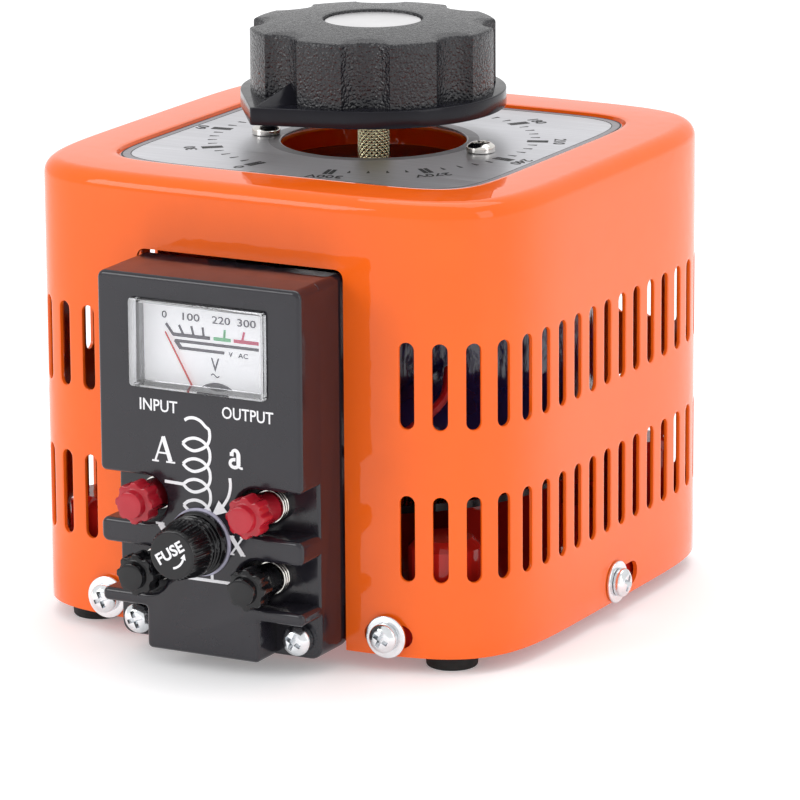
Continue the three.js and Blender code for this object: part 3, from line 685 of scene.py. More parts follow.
def inner_rings(columns):
    """Rings of the cover's inner face, from the hole's edge back down to the wall."""
    top = COVER_HIGH.z
    angles = [math.atan2(y, x) for x, y, _ in (wall_point(s, 0, 0) for s in columns)]
    rings = hoops(angles, ((HOLE, POCKET_FLOOR - SHEET), (HOLE + 1, POCKET_FLOOR - SHEET)))
    for half, z in ((PLATE_HALF + 1.5, POCKET_FLOOR - SHEET), (PLATE_HALF + 2.5, top - SHEET)):
        rings.append([(*squared(half, half, PLATE_POWER, angle), z) for angle in angles])
    radius = BEND - SHEET
    for step in range(5, -1, -1):
        angle = math.pi / 2 * step / 5
        depth = SHEET + radius * (1 - math.cos(angle))
        rings.append([wall_point(s, depth, top - BEND + radius * math.sin(angle)) for s in columns])
    return rings


def vent_wall(bm, columns):
    """The cover's upright wall, outside and inside, with its two rows of slots."""
    low = COVER_LOW.z
    high = COVER_HIGH.z - BEND
    levels = [low + 0.4]
    for row in VENT_ROWS:
        levels += [levels[-1] + (row - CELL_HALF - levels[-1]) * i / 3 for i in (1, 2)]
        levels += [row - z for z in CELL_SIDE[:0:-1]] + [row + z for z in CELL_SIDE]
    levels += [levels[-1] + (high - levels[-1]) * i / 5 for i in range(1, 6)]
    count = len(columns)
    vent_columns = VENTS * CELL_TOP_STEPS
    for depth in (0, SHEET):
        for low_z, high_z in zip(levels, levels[1:]):
            in_row = any(abs((low_z + high_z) / 2 - row) < CELL_HALF for row in VENT_ROWS)
            for i in range(vent_columns if in_row else 0, count):
                start, end = columns[i], columns[(i + 1) % count]
                bm.faces.new([bm.verts.new(wall_point(s, depth, z)) for s, z in (
                    (start, low_z), (end, low_z), (end, high_z), (start, high_z))])
    # Loops round a slot, as (grown by, depth): in from the cell's edge, over the rounded rim and out behind.
    steps = ((None, 0), (0.8, 0), (0.22, 0), (0.06, 0.07), (0, 0.25), (0, 0.95), (0.25, SHEET), (None, SHEET))
    for vent in range(VENTS):
        for row in VENT_ROWS:
            centre = VENT_FIRST + vent * PITCH
            skin(bm, [
                [wall_point(centre + x, depth, row + z) for x, z in cell_loop(grow)] for grow, depth in steps
            ], caps=False)
    skin(bm, [[wall_point(s, depth, z) for s in columns] for depth, z in (
        (0, low + 0.4), (0.1, low + 0.1), (0.4, low), (SHEET - 0.4, low), (SHEET - 0.1, low + 0.1),
        (SHEET, low + 0.4))], caps=False)


def capsule(length, width, shift=0.0):
    """A round-ended slot's outline, long along X."""
    radius, steps = width / 2, 8
    points = []
    for side in (1, -1):
        for step in range(steps + 1):
            angle = -math.pi / 2 + math.pi * step / steps
            x = side * (length / 2 - radius + radius * math.cos(angle))
            points.append((shift + x, side * radius * math.sin(angle)))
    return points


SCREW_X = cad_box("cover_screw_front_right")[1].x - 4
SCREW_Z = cad_middle("cover_screw_front_right")[2]
# Every cutter starts inside the cover and ends outside it.
CUT_FROM, CUT_TO = 66, 90
TO_RIGHT = Matrix.Rotation(math.pi / 2, 4, "Z") @ Matrix.Rotation(math.pi / 2, 4, "X")
TO_LEFT = Matrix.Rotation(-math.pi / 2, 4, "Z") @ Matrix.Rotation(math.pi / 2, 4, "X")


def cover_cutter():
    """The opening for the terminal block, and the four slots for the cover's screws."""
    bm = bmesh.new()
    cut = lambda outline, place: added(bm, lambda part: slab(part, outline, CUT_FROM, CUT_TO), place)
    half, top = BLOCK_HALF + 0.75, 109.7
    opening = rounded([(-half, -5, 0), (half, -5, 0), (half, top, 2.5), (-half, top, 2.5)], 4, closed=True)
    cut(opening, facing_front(BLOCK_X, 0))
    for x in (-SCREW_X, SCREW_X):
        cut(capsule(14, 6.5), facing_front(x, SCREW_Z))
    for turn, shift in ((TO_RIGHT, 5.5), (TO_LEFT, -5.5)):
        cut(capsule(17, 6.5, shift), Matrix.Translation((0, 0, SCREW_Z)) @ turn)
    return bm


def build_cover():
    bm = bmesh.new()
    columns = cover_columns()
    vent_wall(bm, columns)
    skin(bm, top_rings(columns) + inner_rings(columns), caps=False)
    bmesh.ops.remove_doubles(bm, verts=bm.verts, dist=2e-3)
    bm = combined(bm, cover_cutter(), "DIFFERENCE")
    piece("cover_shell", bm, ORANGE, "housing", "orange_enamel", ["housing_cover"], crease=40)


build_cover()


# ---- dial plate

PRINT = 0.05


def plate_outline(move, count=240):
    half = PLATE_HALF - move
    return [squared(half, half, PLATE_POWER, TAU * i / count) for i in range(count)]


def circle(radius, count=240):
    return [polar(radius, TAU * i / count) for i in range(count)]


def build_plate():
    edge = 0.15
    rings = [at_height(plate_outline(move), z) for move, z in (
        (0, POCKET_FLOOR), (0, PLATE_TOP - edge), (edge, PLATE_TOP), (2, PLATE_TOP))]
    rings += [at_height(circle(radius), z) for radius, z in (
        (HOLE + 2, PLATE_TOP), (HOLE + edge, PLATE_TOP), (HOLE, PLATE_TOP - edge), (HOLE, POCKET_FLOOR))]
    bm = built(skin, rings, wrap=True)
    piece("plate_sheet", bm, ALUMINIUM, "housing", "dial_aluminium", ["dial_plate"])


def dial_angle(volts):
    return DIAL_ZERO - DIAL_SPAN * volts / DIAL_VOLTS


def dial_bar(bm, volts, inner, outer, inner_width, outer_width, across=0.0):
    """A tapered mark that points along a radius, shifted sideways by across."""
    place = Matrix.Rotation(dial_angle(volts), 4, "Z") @ Matrix.Translation((0, across, PLATE_TOP))
    line, widths = [(inner, 0), (outer, 0)], [inner_width, outer_width]
    added(bm, lambda part: stroke(part, line, widths, -0.02, PRINT), place)


def build_dial_print():
    black = bmesh.new()
    low, high = PLATE_TOP - 0.02, PLATE_TOP + PRINT
    for volts in range(0, DIAL_VOLTS + 1, 6):
        if volts % 30:
            dial_bar(black, volts, 43.7, 46.3, 0.25, 0.95)
            continue
        for side in (-1, 1):
            dial_bar(black, volts, 42.8, 48.7, 1.05, 1.25, across=side * 0.76)
        text = f"{volts}V" if volts >= 270 else str(volts)
        angle = dial_angle(volts)
        place = Matrix.Rotation(angle, 4, "Z") @ Matrix.Translation((51.9, 0, PLATE_TOP + 0.02))
        place @= Matrix.Rotation(-math.pi / 2, 4, "Z")
        lettering(black, text, 3.4, place, bold=0.06, stretch=1.05)
    ribbon_loop(black, plate_outline(0.2), plate_outline(0.6), low, high)
    ribbon_loop(black, plate_outline(2.3), plate_outline(2.5), low, high)
    piece("dial_marks", black, INK_BLACK, "housing", "dial_aluminium")
    grey = bmesh.new()
    ribbon_loop(grey, plate_outline(0.6), plate_outline(2.3), low, PLATE_TOP + 0.03)
    ribbon_loop(grey, circle(29.4), circle(HOLE + 0.4), low, PLATE_TOP + 0.03)
    piece("dial_border", grey, INK_GREY_METAL, "housing", "dial_aluminium")


def border_metal():
    made = Surface("border_grey", (0.30, 0.29, 0.31), 0.4, metallic=0.7)
    streaks = made.noise(1400, 5, made.stretched((0.02, 1, 1)))
    made.link(made.spread(streaks, 0.34, 0.48), made.shader.inputs["Roughness"])
    made.mottle(300, 0.06)
    return made.material


INK_GREY_METAL = border_metal()
build_plate()
build_dial_print()


# ---- screws and washers


def screw_mesh(radius, height, shank, length):
    """A pan-head screw with a cross recess, along +Z from the underside of its head."""
    profile = rounded([
        (0, -length, 0),
        (shank, -length, 0.4),
        (shank, 0, 0),
        (radius, 0, 0.25),
        (radius, height * 0.62, height * 0.34),
        (radius * 0.62, height, radius * 0.5),
        (0, height, 0),
    ], 6)
    head = built(turned, profile, 40)
    for turn in (0, math.pi / 2):
        rings = []
        for z, long, wide in ((height - 1.7, radius * 0.35, 0.42), (height + 0.4, radius * 0.66, 0.66)):
            rings.append(at_height([(-long, -wide), (long, -wide), (long, wide), (-long, wide)], z))
        cross = built(skin, rings)
        cross.transform(Matrix.Rotation(turn, 4, "Z"))
        head = combined(head, cross, "DIFFERENCE")
    return baked(head)


def fastener(name, mesh, place, replaces, material):
    bm = bmesh.new()
    bm.from_mesh(mesh)
    piece(name, bm, material, "housing", "zinc_steel", replaces, crease=30, matrix=place)


def washer_mesh(radius, bore, thickness):
    corners = [(bore, 0, 0.05), (radius, 0, 0.2), (radius, thickness, 0.3), (bore, thickness, 0.1)]
    return baked(built(turned, rounded(corners, 4, closed=True), 64, wrap=True))


def build_fasteners():
    pan = screw_mesh(4.0, 2.9, 2.0, 8)
    short = screw_mesh(4.0, 2.7, 2.0, 5)
    thick = screw_mesh(4.2, 4.1, 2.0, 10)
    washer = washer_mesh(5.9, 2.3, 0.95)
    up = lambda height: Matrix.Translation((0, 0, height))
    seats = {
        "front": -cad_box("cover_washer_front_right")[1].y,
        "side": cad_box("cover_washer_side_right")[0].x,
    }
    for side, sign, roll in (("left", -1, 0.4), ("right", 1, 1.1)):
        spin = Matrix.Rotation(roll, 4, "Z")
        places = {
            "front": facing_front(sign * SCREW_X, SCREW_Z),
            "side": up(SCREW_Z) @ (TO_RIGHT if sign > 0 else TO_LEFT),
        }
        for wall, seat in seats.items():
            tag = f"{wall}_{side}"
            place = places[wall]
            fastener(f"washer_{tag}", washer, place @ up(seat), [f"cover_washer_{tag}"], ZINC)
            fastener(f"screw_{tag}", pan, place @ up(seat + 1.05) @ spin, [f"cover_screw_{tag}"], ZINC)
        x, _, z = cad_middle(f"block_screw_{side}")
        place = facing_front(x, z) @ up(-cad_box(f"block_screw_{side}")[0].y - 4.15) @ spin
        fastener(f"screw_block_{side}", thick, place, [f"block_screw_{side}"], ZINC)
        x, y, _ = cad_middle(f"dial_screw_{side}")
        place = Matrix.Translation((x, y, PLATE_TOP + 0.12)) @ spin
        fastener(f"screw_dial_{side}", short, place, [f"dial_screw_{side}"], NICKEL)


build_fasteners()


# ---- knob and shaft

FLUTES = 8
LOBE_RADIUS = 34.4
FLUTE_FLOOR = 30.5
FLANGE_LOW = cad_box("knob")[0].z
FLANGE_HIGH = FLANGE_LOW + 4.9
KNOB_RIM = 161.7
KNOB_CENTRE = cad_box("knob")[1].z
RECESS_RADIUS = 13.9
RECESS_FLOOR = 160.6
SOCKET = 4.8


def grip_radius(angle):
    """The grip's radius: lobes on one circle, with a round flute between each two."""
    sector = TAU / FLUTES
    off = (angle - POINTER_REST + sector / 2) % sector - sector / 2
    half = sector / 4
    if abs(off) >= half:
        return LOBE_RADIUS
    chord = LOBE_RADIUS * math.sin(half)
    sagitta = LOBE_RADIUS * math.cos(half) - FLUTE_FLOOR
    radius = (chord * chord + sagitta * sagitta) / (2 * sagitta)
    centre = FLUTE_FLOOR + radius
    return centre * math.cos(off) - math.sqrt(radius * radius - (centre * math.sin(off)) ** 2)


def grip_angles():
    """Angles round the grip, closer together across the flutes than the lobes."""
    sector = TAU / FLUTES
    shares = [-0.25 + 0.5 * i / 18 for i in range(18)] + [0.25 + 0.5 * i / 8 for i in range(8)]
    return [POINTER_REST + (flute + share) * sector for flute in range(FLUTES) for share in shares]


def build_grip():
    angles = grip_angles()
    outline = [polar(grip_radius(angle), angle) for angle in angles]
    ring = lambda move, z: [(*point, z) for point in inset(outline, move)]
    rings = [ring(0, FLANGE_HIGH - 0.4)]
    rings += [ring(0, FLANGE_HIGH + (KNOB_RIM - 1.0 - FLANGE_HIGH) * i / 6) for i in range(7)]
    for step in range(1, 6):
        turn = math.pi / 2 * step / 5
        rings.append(ring(0.9 * (1 - math.cos(turn)), KNOB_RIM - 0.9 + 0.9 * math.sin(turn)))
    edge = [Vector(point[:2]) for point in rings[-1]]
    for share in (0.12, 0.3, 0.5, 0.7, 0.88, 1.0):
        points = []
        for point, angle in zip(edge, angles):
            target = Vector(polar(RECESS_RADIUS + 0.5, angle))
            here = point.lerp(target, share)
            fall = (here.length / LOBE_RADIUS) ** 2
            height = KNOB_RIM + (KNOB_CENTRE - 0.2 - KNOB_RIM) * max(0, 1 - fall) * 1.18
            points.append((here.x, here.y, min(height, KNOB_CENTRE)))
        rings.append(points)
    lip = rings[-1][0][2]
    rings += hoops(angles, (
        (RECESS_RADIUS + 0.1, lip - 0.1), (RECESS_RADIUS, lip - 0.4), (RECESS_RADIUS, RECESS_FLOOR),
        (6, RECESS_FLOOR), (SOCKET, RECESS_FLOOR), (SOCKET, FLANGE_HIGH - 0.4),
    ))
    return built(skin, rings, wrap=True)


def flange_outline():
    nose = 44.9
    radius = 37.0
    reach = math.acos(radius / nose)
    corners = [(*polar(nose, POINTER_REST), 1.2)]
    steps = 120
    for i in range(steps + 1):
        angle = POINTER_REST + reach + (TAU - 2 * reach) * i / steps
        corners.append((*polar(radius, angle), 0))
    return rounded(corners, 6, closed=True)


def build_flange():
    bm = built(slab, flange_outline(), FLANGE_LOW, FLANGE_HIGH, edge=0.4, low_edge=0.35)
    low, high, bore = FLANGE_LOW - 1, FLANGE_HIGH + 1, SOCKET + 0.05
    hole = built(turned, [(0, low), (bore, low), (bore, high), (0, high)])
    return combined(bm, hole, "DIFFERENCE")


def build_ridge():
    """The pointer: a three-sided ridge that falls from the grip to the flange's nose."""
    low = FLANGE_HIGH - 0.3
    sections = ((27.0, 7.0, 6.8), (33.0, 4.45, 4.3), (38.5, 2.1, 2.1), (43.0, 0.25, 0.35))
    rings = []
    for radius, half, height in sections:
        profile = rounded([(-half, 0, 0), (half, 0, 0), (0.0, height, min(0.5, height / 3))], 4, closed=True)
        rings.append([(radius, across, low + up) for across, up in profile])
    bm = built(skin, rings)
    bm.transform(Matrix.Rotation(POINTER_REST, 4, "Z"))
    return bm


def build_knob():
    piece("knob_flange", build_flange(), FLANGE_BLACK, "rotor", "black_grained", crease=40)
    piece("knob_pointer", build_ridge(), FLANGE_BLACK, "rotor", "black_grained", crease=25)
    piece("knob_grip", build_grip(), KNOB_BLACK, "rotor", "black_grained", ["knob"], crease=28)
    low, top, radius = RECESS_FLOOR + 0.1, KNOB_CENTRE - 0.9, RECESS_RADIUS - 0.3
    profile = rounded([(0, low, 0), (radius, low, 0), (radius, top, 0.5), (0, top, 0)])
    piece("knob_inlay", built(turned, profile, 96), DISC, "rotor", "knob_aluminium", ["knob_disc"])


def build_shaft():
    """A shaft with a diamond knurl where it shows, and plain below."""
    low, high = cad_box("shaft")
    teeth, steps = 18, 8
    around = teeth * steps
    angles = even_angles(around)
    knurl_low, knurl_high = 117.5, high.z - 0.6
    rise = TAU * 4.4 / around
    ridge = lambda phase: max(0, math.cos(TAU * phase / steps)) ** 3
    rings = hoops(angles, ((3.5, low.z), (4.0, low.z + 0.5), (4.0, 116.6)))
    for row in range(int((knurl_high - knurl_low) / rise) + 1):
        rings.append([
            (*polar(4.05 + 0.42 * max(ridge(i + row), ridge(i - row)), angle), knurl_low + rise * row)
            for i, angle in enumerate(angles)
        ])
    bm = built(skin, rings + hoops(angles, [(3.9, high.z)]))
    piece("shaft_knurled", bm, YELLOW_ZINC, "rotor", "yellow_zinc_steel", ["shaft"], crease=60)


build_knob()
build_shaft()


# ---- terminal block

SHELF_TOP, SHELF_LOW = 40.0, 33.2
TONGUE_TOP, TONGUE_LOW = 20.2, 16.5
BODY_LOW = 53.0
COLUMN = 17.3
POST_X = 17.0
POCKET_END = POST_X - 6.45
BLOCK_REAR = 74.2
# The cutters for the meter's well start behind the block.
WELL_FROM = 60


def block_front_outline():
    """The front layer seen from the front: full width above, then two shelves and a centre column."""
    half = BLOCK_HALF
    low, high = BLOCK_LOW.z, BLOCK_HIGH.z
    right = [
        (COLUMN, low, 1.5),
        (COLUMN, TONGUE_LOW, 1.0),
        (half, TONGUE_LOW, 1.5),
        (half, TONGUE_TOP, 1.5),
        (POCKET_END, TONGUE_TOP, 6.4),
        (POCKET_END, SHELF_LOW, 6.4),
        (half, SHELF_LOW, 2.0),
        (half, SHELF_TOP, 2.0),
        (POCKET_END, SHELF_TOP, 6.4),
        (POCKET_END, BODY_LOW, 6.4),
        (half, BODY_LOW, 1.6),
        (half, high, 2.2),
    ]
    left = [(-x, z, radius) for x, z, radius in reversed(right)]
    return rounded(right + left, 6, closed=True)


def build_block():
    half = BLOCK_HALF
    low, high = BLOCK_LOW.z, BLOCK_HIGH.z
    front = built(slab, block_front_outline(), -POCKET_BACK - 1.5, -BLOCK_FRONT, edge=1.2, steps=5)
    outline = rounded([
        (-half, low, 3.5), (half, low, 3.5), (half, high, 2.0), (-half, high, 2.0)], 6, closed=True)
    body = combined(built(slab, outline, BLOCK_REAR, -POCKET_BACK, edge=0.8), front, "UNION")
    low_w, high_w = cad_box("meter_window")
    gap = 0.1
    window = rectangle(
        low_w.x - BLOCK_X - gap, high_w.x - BLOCK_X + gap, low_w.z - gap, high_w.z + gap, 1.0 + gap)
    body = combined(body, built(slab, window, WELL_FROM, 105), "DIFFERENCE")
    inner = half - 3
    hollow = [(-inner, 56), (inner, 56), (inner, high - 3), (-inner, high - 3)]
    body = combined(body, built(slab, hollow, WELL_FROM, 89.5), "DIFFERENCE")
    piece("block_moulding", body, BLOCK_BLACK, "housing", "black_phenolic", ["terminal_block"], crease=32,
          matrix=facing_front(BLOCK_X, 0))


INK_LOW = -BLOCK_FRONT - 0.02
INK_HIGH = -BLOCK_FRONT + 0.05


def serif_a(pen, x, z, height):
    """A capital A with serifs, standing on (x, z)."""
    apex = (x, z + height)
    pen.line([(x - height * 0.35, z + 0.2), apex], height * 0.08)
    pen.line([(x + height * 0.33, z + 0.2), apex], height * 0.18)
    pen.line([(x - height * 0.2, z + height * 0.34), (x + height * 0.2, z + height * 0.34)], height * 0.07)
    for centre, half in ((-0.35, 0.15), (0.33, 0.2)):
        foot_x = x + height * centre
        pen.line([(foot_x - height * half, z), (foot_x + height * half, z)], height * 0.07)


def serif_x(pen, x, z, height):
    """A small x or capital X with serifs, standing on (x, z)."""
    half = height * 0.36
    pen.line([(x - half, z + height), (x + half, z)], height * 0.26)
    pen.line([(x + half, z + height), (x - half, z)], height * 0.11)
    for across, wide in ((-half, 0.2), (half, 0.16)):
        for up in (0, height):
            serif = [(x + across - height * wide, z + up), (x + across + height * wide, z + up)]
            pen.line(serif, height * 0.09)


def arc_points(x, z, radius_x, radius_z, start, end, steps=16):
    """Points on an ellipse's arc, with angles in degrees."""
    angles = [math.radians(start + (end - start) * i / steps) for i in range(steps + 1)]
    return [(x + radius_x * math.cos(a), z + radius_z * math.sin(a)) for a in angles]


def serif_small_a(pen, x, z, height):
    """A small two-storey a with serifs, standing on (x, z)."""
    stem_x = x + height * 0.2
    bold, fine = height * 0.23, height * 0.12
    hook = arc_points(x, z + height * 0.68, height * 0.2, height * 0.27, 165, 0)
    pen.line(hook, [fine + (bold - fine) * i / (len(hook) - 1) for i in range(len(hook))])
    pen.line([(stem_x, z + height * 0.72), (stem_x, z + height * 0.14)], bold)
    foot = arc_points(x + height * 0.37, z + height * 0.15, height * 0.15, height * 0.12, 180, 300, 8)
    pen.line(foot, fine)
    bowl = arc_points(x - height * 0.04, z + height * 0.25, height * 0.25, height * 0.21, 75, 330)
    pen.line(bowl, fine * 1.5)
    pen.line([(x - height * 0.3, z + height * 0.73), (x - height * 0.08, z + height * 0.73)], height * 0.2)


def smooth(points):
    """Points along a smooth curve through the points given."""
    ends = [points[0], *points, points[-1]]
    steps = 6
    curve = []
    for a, b, c, d in zip(ends, ends[1:], ends[2:], ends[3:]):
        a, b, c, d = Vector(a), Vector(b), Vector(c), Vector(d)
        for step in range(steps):
            t = step / steps
            point = b + (c - a) * t / 2 + (a * 2 - b * 5 + c * 4 - d) * t * t / 2
            curve.append(tuple(point + (b * 3 - a - c * 3 + d) * t ** 3 / 2))
    return curve + [points[-1]]


LINE = 0.85
COIL_TIP = (-5.9, 63.4)
COIL_PITCH = 5.7
COIL_TURNS = 4
COIL_SPINE = 2.55
COMMON_LINE = 26.2
# One turn of the drawn coil, counted from its left tip: over, down the bulge and back to the next tip.
COIL_OVER = ((0, 0), (1.4, 1.15), (3.5, 1.75), (5.6, 1.4), (7.2, 0.3))
COIL_UNDER = (
    (8.15, -1.2), (8.35, -2.9), (8.1, -4.3), (7.4, -5.5), (6.0, -6.6), (3.5, -7.45), (1.4, -6.9), (0, -5.7))


def coil_symbol(pen):
    """A winding drawn as a helix seen from the side, with its tap, pick-off arrow and common line."""
    def turn(number, offsets):
        return [(COIL_TIP[0] + x, COIL_TIP[1] - COIL_PITCH * number + z) for x, z in offsets]

    hook = [(-5.2, 69.8), (-4.0, 70.5), (-2.3, 70.7), (-0.4, 70.1), (1.2, 68.7)]
    pen.line(smooth(hook + turn(-1, COIL_UNDER)), LINE)
    for number in range(COIL_TURNS):
        pen.line(smooth(turn(number, COIL_OVER + COIL_UNDER)), LINE)
    pen.line([(COIL_SPINE, 43.8), (COIL_SPINE, COMMON_LINE)], LINE)
    pen.line([(-11.6, 52.2), (-5.6, 52.05)], LINE)
    pen.line([(-12.0, COMMON_LINE), (9.2, COMMON_LINE)], LINE)
    pen.line(smooth([(8.45, 55.35), (8.6, 53.8), (8.5, 52.2), (7.8, 49.8), (6.1, 47.2)]), LINE)
    pen.line([(6.2, 47.3), (2.7, 44.2)], [3.9, 0.1])


def build_block_print():
    pen = Pen(INK_LOW, INK_HIGH)
    pen.text("INPUT", -13.2, 72.9, 3.3, 11.6)
    pen.text("OUTPUT", 14.1, 73.2, 3.3, 15.6)
    serif_a(pen, -12.0, 57.6, 6.9)
    serif_small_a(pen, 10.1, 58.25, 5.2)
    serif_x(pen, 10.3, 34.4, 4.9)
    serif_x(pen, -10.9, 33.6, 6.7)
    coil_symbol(pen)
    piece("block_marks", pen.bm, INK_WHITE, "housing", "black_phenolic", matrix=facing_front(0, 0))


build_block()
build_block_print()


# ---- binding posts


def build_posts():
    for side in ("left", "right"):
        for row, plastic, slot in (("upper", GLOSS_RED, "red_gloss"), ("lower", GLOSS_BLACK, "black_gloss")):
            tag = f"{row}_{side}"
            low, high = cad_box(f"post_cap_{tag}")
            x, _, z = cad_middle(f"post_cap_{tag}")
            place = facing_front(x, z)
            piece(f"grip_{tag}", post_cap(-high.y, -low.y), plastic, f"post_grip_{tag}", slot,
                  [f"post_cap_{tag}"], crease=32, matrix=place)
            piece(f"rings_{tag}", post_rings(), NICKEL, "housing", "zinc_steel", [f"post_collar_{tag}"],
                  matrix=place)


def post_cap(back, front):
    """A smooth neck, a grip with eight round lobes, and a round boss on its face."""
    lobes = 8
    angles = even_angles(lobes * 16)
    reach = lambda angle: 5.42 + 0.38 * max(-1, min(1, 1.7 * math.cos(lobes * angle)))
    lobed = lambda sizes: [[(*polar(reach(a) - move, a), z) for a in angles] for move, z in sizes]
    grip_back, face, floor = front - 8.1, front - 2.5, front - 3.6
    rings = hoops(angles, (
        (3.7, back), (4.15, back), (4.35, back + 0.25), (4.35, grip_back - 0.3), (4.5, grip_back - 0.05)))
    rings += lobed((
        (0.7, grip_back), (0.2, grip_back + 0.1), (0, grip_back + 0.4), (0, face - 0.4), (0.12, face - 0.12),
        (0.4, face)))
    rings += hoops(angles, (
        (4.25, face), (4.05, face + 0.06), (3.85, face + 0.25), (3.75, front - 0.45), (3.65, front - 0.13),
        (3.35, front), (1.5, front), (0.001, front), (0.001, floor), (3.7, floor)))
    bm = built(skin, rings, wrap=True)
    bmesh.ops.remove_doubles(bm, verts=bm.verts, dist=5e-3)
    return bm


def post_rings():
    """Three thin rings with rounded rims, stacked against the pocket's wall."""
    bm = bmesh.new()
    start = -POCKET_BACK + 0.02
    for i in range(3):
        low = start + i * 1.14
        high = low + 0.85
        profile = rounded([(2.8, low, 0), (4.88, low, 0.35), (4.88, high, 0.35), (2.8, high, 0)], closed=True)
        added(bm, lambda part: turned(part, profile, 72, wrap=True))
    return bm


build_posts()


# ---- fuse holder

FUSE_X, _, FUSE_Z = cad_middle("fuse_cap")
FUSE_FACE, FUSE_BACK = (-corner.y for corner in cad_box("fuse_cap"))
SEAT = -BLOCK_FRONT


def fuse_cap():
    """A ribbed cone on a skirt with three beads, closed by a flat face."""
    angles = even_angles(288)
    teeth = 40
    rib = lambda angle: 0.16 * max(-1, min(1, 2 * math.cos(teeth * angle)))
    ribbed = lambda sizes: [[(*polar(radius + rib(a), a), z) for a in angles] for radius, z in sizes]
    back, front = FUSE_BACK, FUSE_FACE
    rings = hoops(angles, (
        (3.2, back), (7.7, back), (8.15, back + 0.25), (8.2, back + 0.9), (7.9, back + 1.05),
        (7.85, back + 1.5), (8.1, back + 1.65), (8.15, back + 2.5), (7.8, back + 2.65), (7.8, back + 3.3),
        (8.15, back + 3.45), (8.15, back + 4.2), (7.95, back + 4.4)))
    rings += ribbed(((7.85, back + 4.5), (7.0, front - 1.0), (6.8, front - 0.7)))
    rings += hoops(angles, (
        (6.7, front - 0.4), (6.55, front - 0.12), (6.3, front), (6.0, front), (0.001, front),
        (0.001, front - 3), (3.2, front - 3)))
    bm = built(skin, rings, wrap=True)
    bmesh.ops.remove_doubles(bm, verts=bm.verts, dist=5e-3)
    return bm


def fuse_print():
    """The word FUSE and an arrow under it, turned as the cap stands at rest."""
    bm = bmesh.new()
    face = Matrix.Translation((0, 0, FUSE_FACE + 0.02)) @ Matrix.Rotation(math.radians(33), 4, "Z")
    word = face @ Matrix.Translation((-0.1, 0.9, 0))
    lettering(bm, "FUSE", 3.2, word, bold=0.12, thick=0.05, width=9.2)
    end = 312
    arrow = arc_points(0, 0.6, 4.0, 4.0, 248, end, 12)
    added(bm, lambda part: stroke(part, arrow, 0.6, 0, 0.05), face)
    tip = Matrix.Translation((*arrow[-1], 0)) @ Matrix.Rotation(math.radians(end + 90), 4, "Z")
    added(bm, lambda part: stroke(part, [(-0.1, 0), (1.5, 0)], [1.7, 0.05], 0, 0.05), face @ tip)
    return bm


def build_fuse():
    place = facing_front(FUSE_X, FUSE_Z)
    piece("fuse_grip", fuse_cap(), GLOSS_BLACK, "fuse_cap", "black_gloss", ["fuse_cap"], crease=32,
          matrix=place)
    piece("fuse_marks", fuse_print(), INK_WHITE, "fuse_cap", "black_gloss", matrix=place)
    for name, node, material, slot, corners in (
        ("fuse_seal", "fuse_gasket", GASKET, "grey_gasket", [
            (7.6, SEAT, 0), (9.38, SEAT, 0.2), (9.38, SEAT + 1.0, 0.4), (7.6, SEAT + 1.0, 0)]),
        ("fuse_body", "fuse_holder", GLOSS_BLACK, "black_gloss", [
            (4.6, 66, 0), (6, 66, 0.3), (6, 82, 0), (7.3, 82, 0.3), (7.3, SEAT + 1.05, 0),
            (8.85, SEAT + 1.05, 0.2), (8.85, SEAT + 2.6, 0.5), (8.3, SEAT + 3.25, 0.3),
            (4.6, SEAT + 3.25, 0)]),
    ):
        ring = built(turned, rounded(corners, 4, closed=True), 96, wrap=True)
        piece(name, ring, material, "housing", slot, [node], matrix=place)


build_fuse()


# ---- panel meter

WINDOW_LOW, WINDOW_HIGH = cad_box("meter_window")
FACE_Y = cad_box("meter_scale_plate")[0].y
PIVOT = PLACE.inverted() @ Vector(JOINTS["meter_swing"]["pos_m"])
WINDOW_WALL, SILL = 1.2, 0.5


def build_window():
    """A clear box with rounded rims, thick walls and a thinner sill, open at the back."""
    back, front = -WINDOW_HIGH.y, -WINDOW_LOW.y
    outside = (
        (0, 1.0, back), (0, 1.0, front - 0.5), (0.15, 1.0, front - 0.15), (0.5, 0.8, front),
        (0.8, 0.6, front))
    inside = ((WINDOW_WALL, 0.4, front - WINDOW_WALL), (WINDOW_WALL, 0.4, back))

    def ring(move, radius, z):
        bottom = WINDOW_LOW.z + min(move, SILL)
        outline = rectangle(WINDOW_LOW.x + move, WINDOW_HIGH.x - move, bottom, WINDOW_HIGH.z - move, radius)
        return at_height(outline, z)

    outer, inner = ([ring(*level) for level in levels] for levels in (outside, inside))
    bm = bmesh.new()
    for rings in (outer, inner, [inner[-1], outer[0]]):
        skin(bm, rings, caps=False)
    for face in (outer[-1], inner[0]):
        bm.faces.new([bm.verts.new(point) for point in face])
    bmesh.ops.remove_doubles(bm, verts=bm.verts, dist=1e-4)
    piece("meter_glazing", bm, ACRYLIC, "housing", "clear_acrylic", ["meter_window"], crease=30,
          matrix=facing_front(0, 0))


def from_pivot(points):
    """Places on the meter's face, counted from the needle's pivot."""
    return [(PIVOT.x + right, PIVOT.z + up) for right, up in points]


def scale_print(name, material, lines, words=()):
    pen = Pen(-FACE_Y - 0.02, -FACE_Y + 0.04)
    for points, width in lines:
        pen.line(from_pivot(points), width)
    for text, right, up, height, wide in words:
        pen.text(text, PIVOT.x + right, PIVOT.z + up, height, wide)
    piece(name, pen.bm, material, "housing", "scale_white", matrix=facing_front(0, 0))


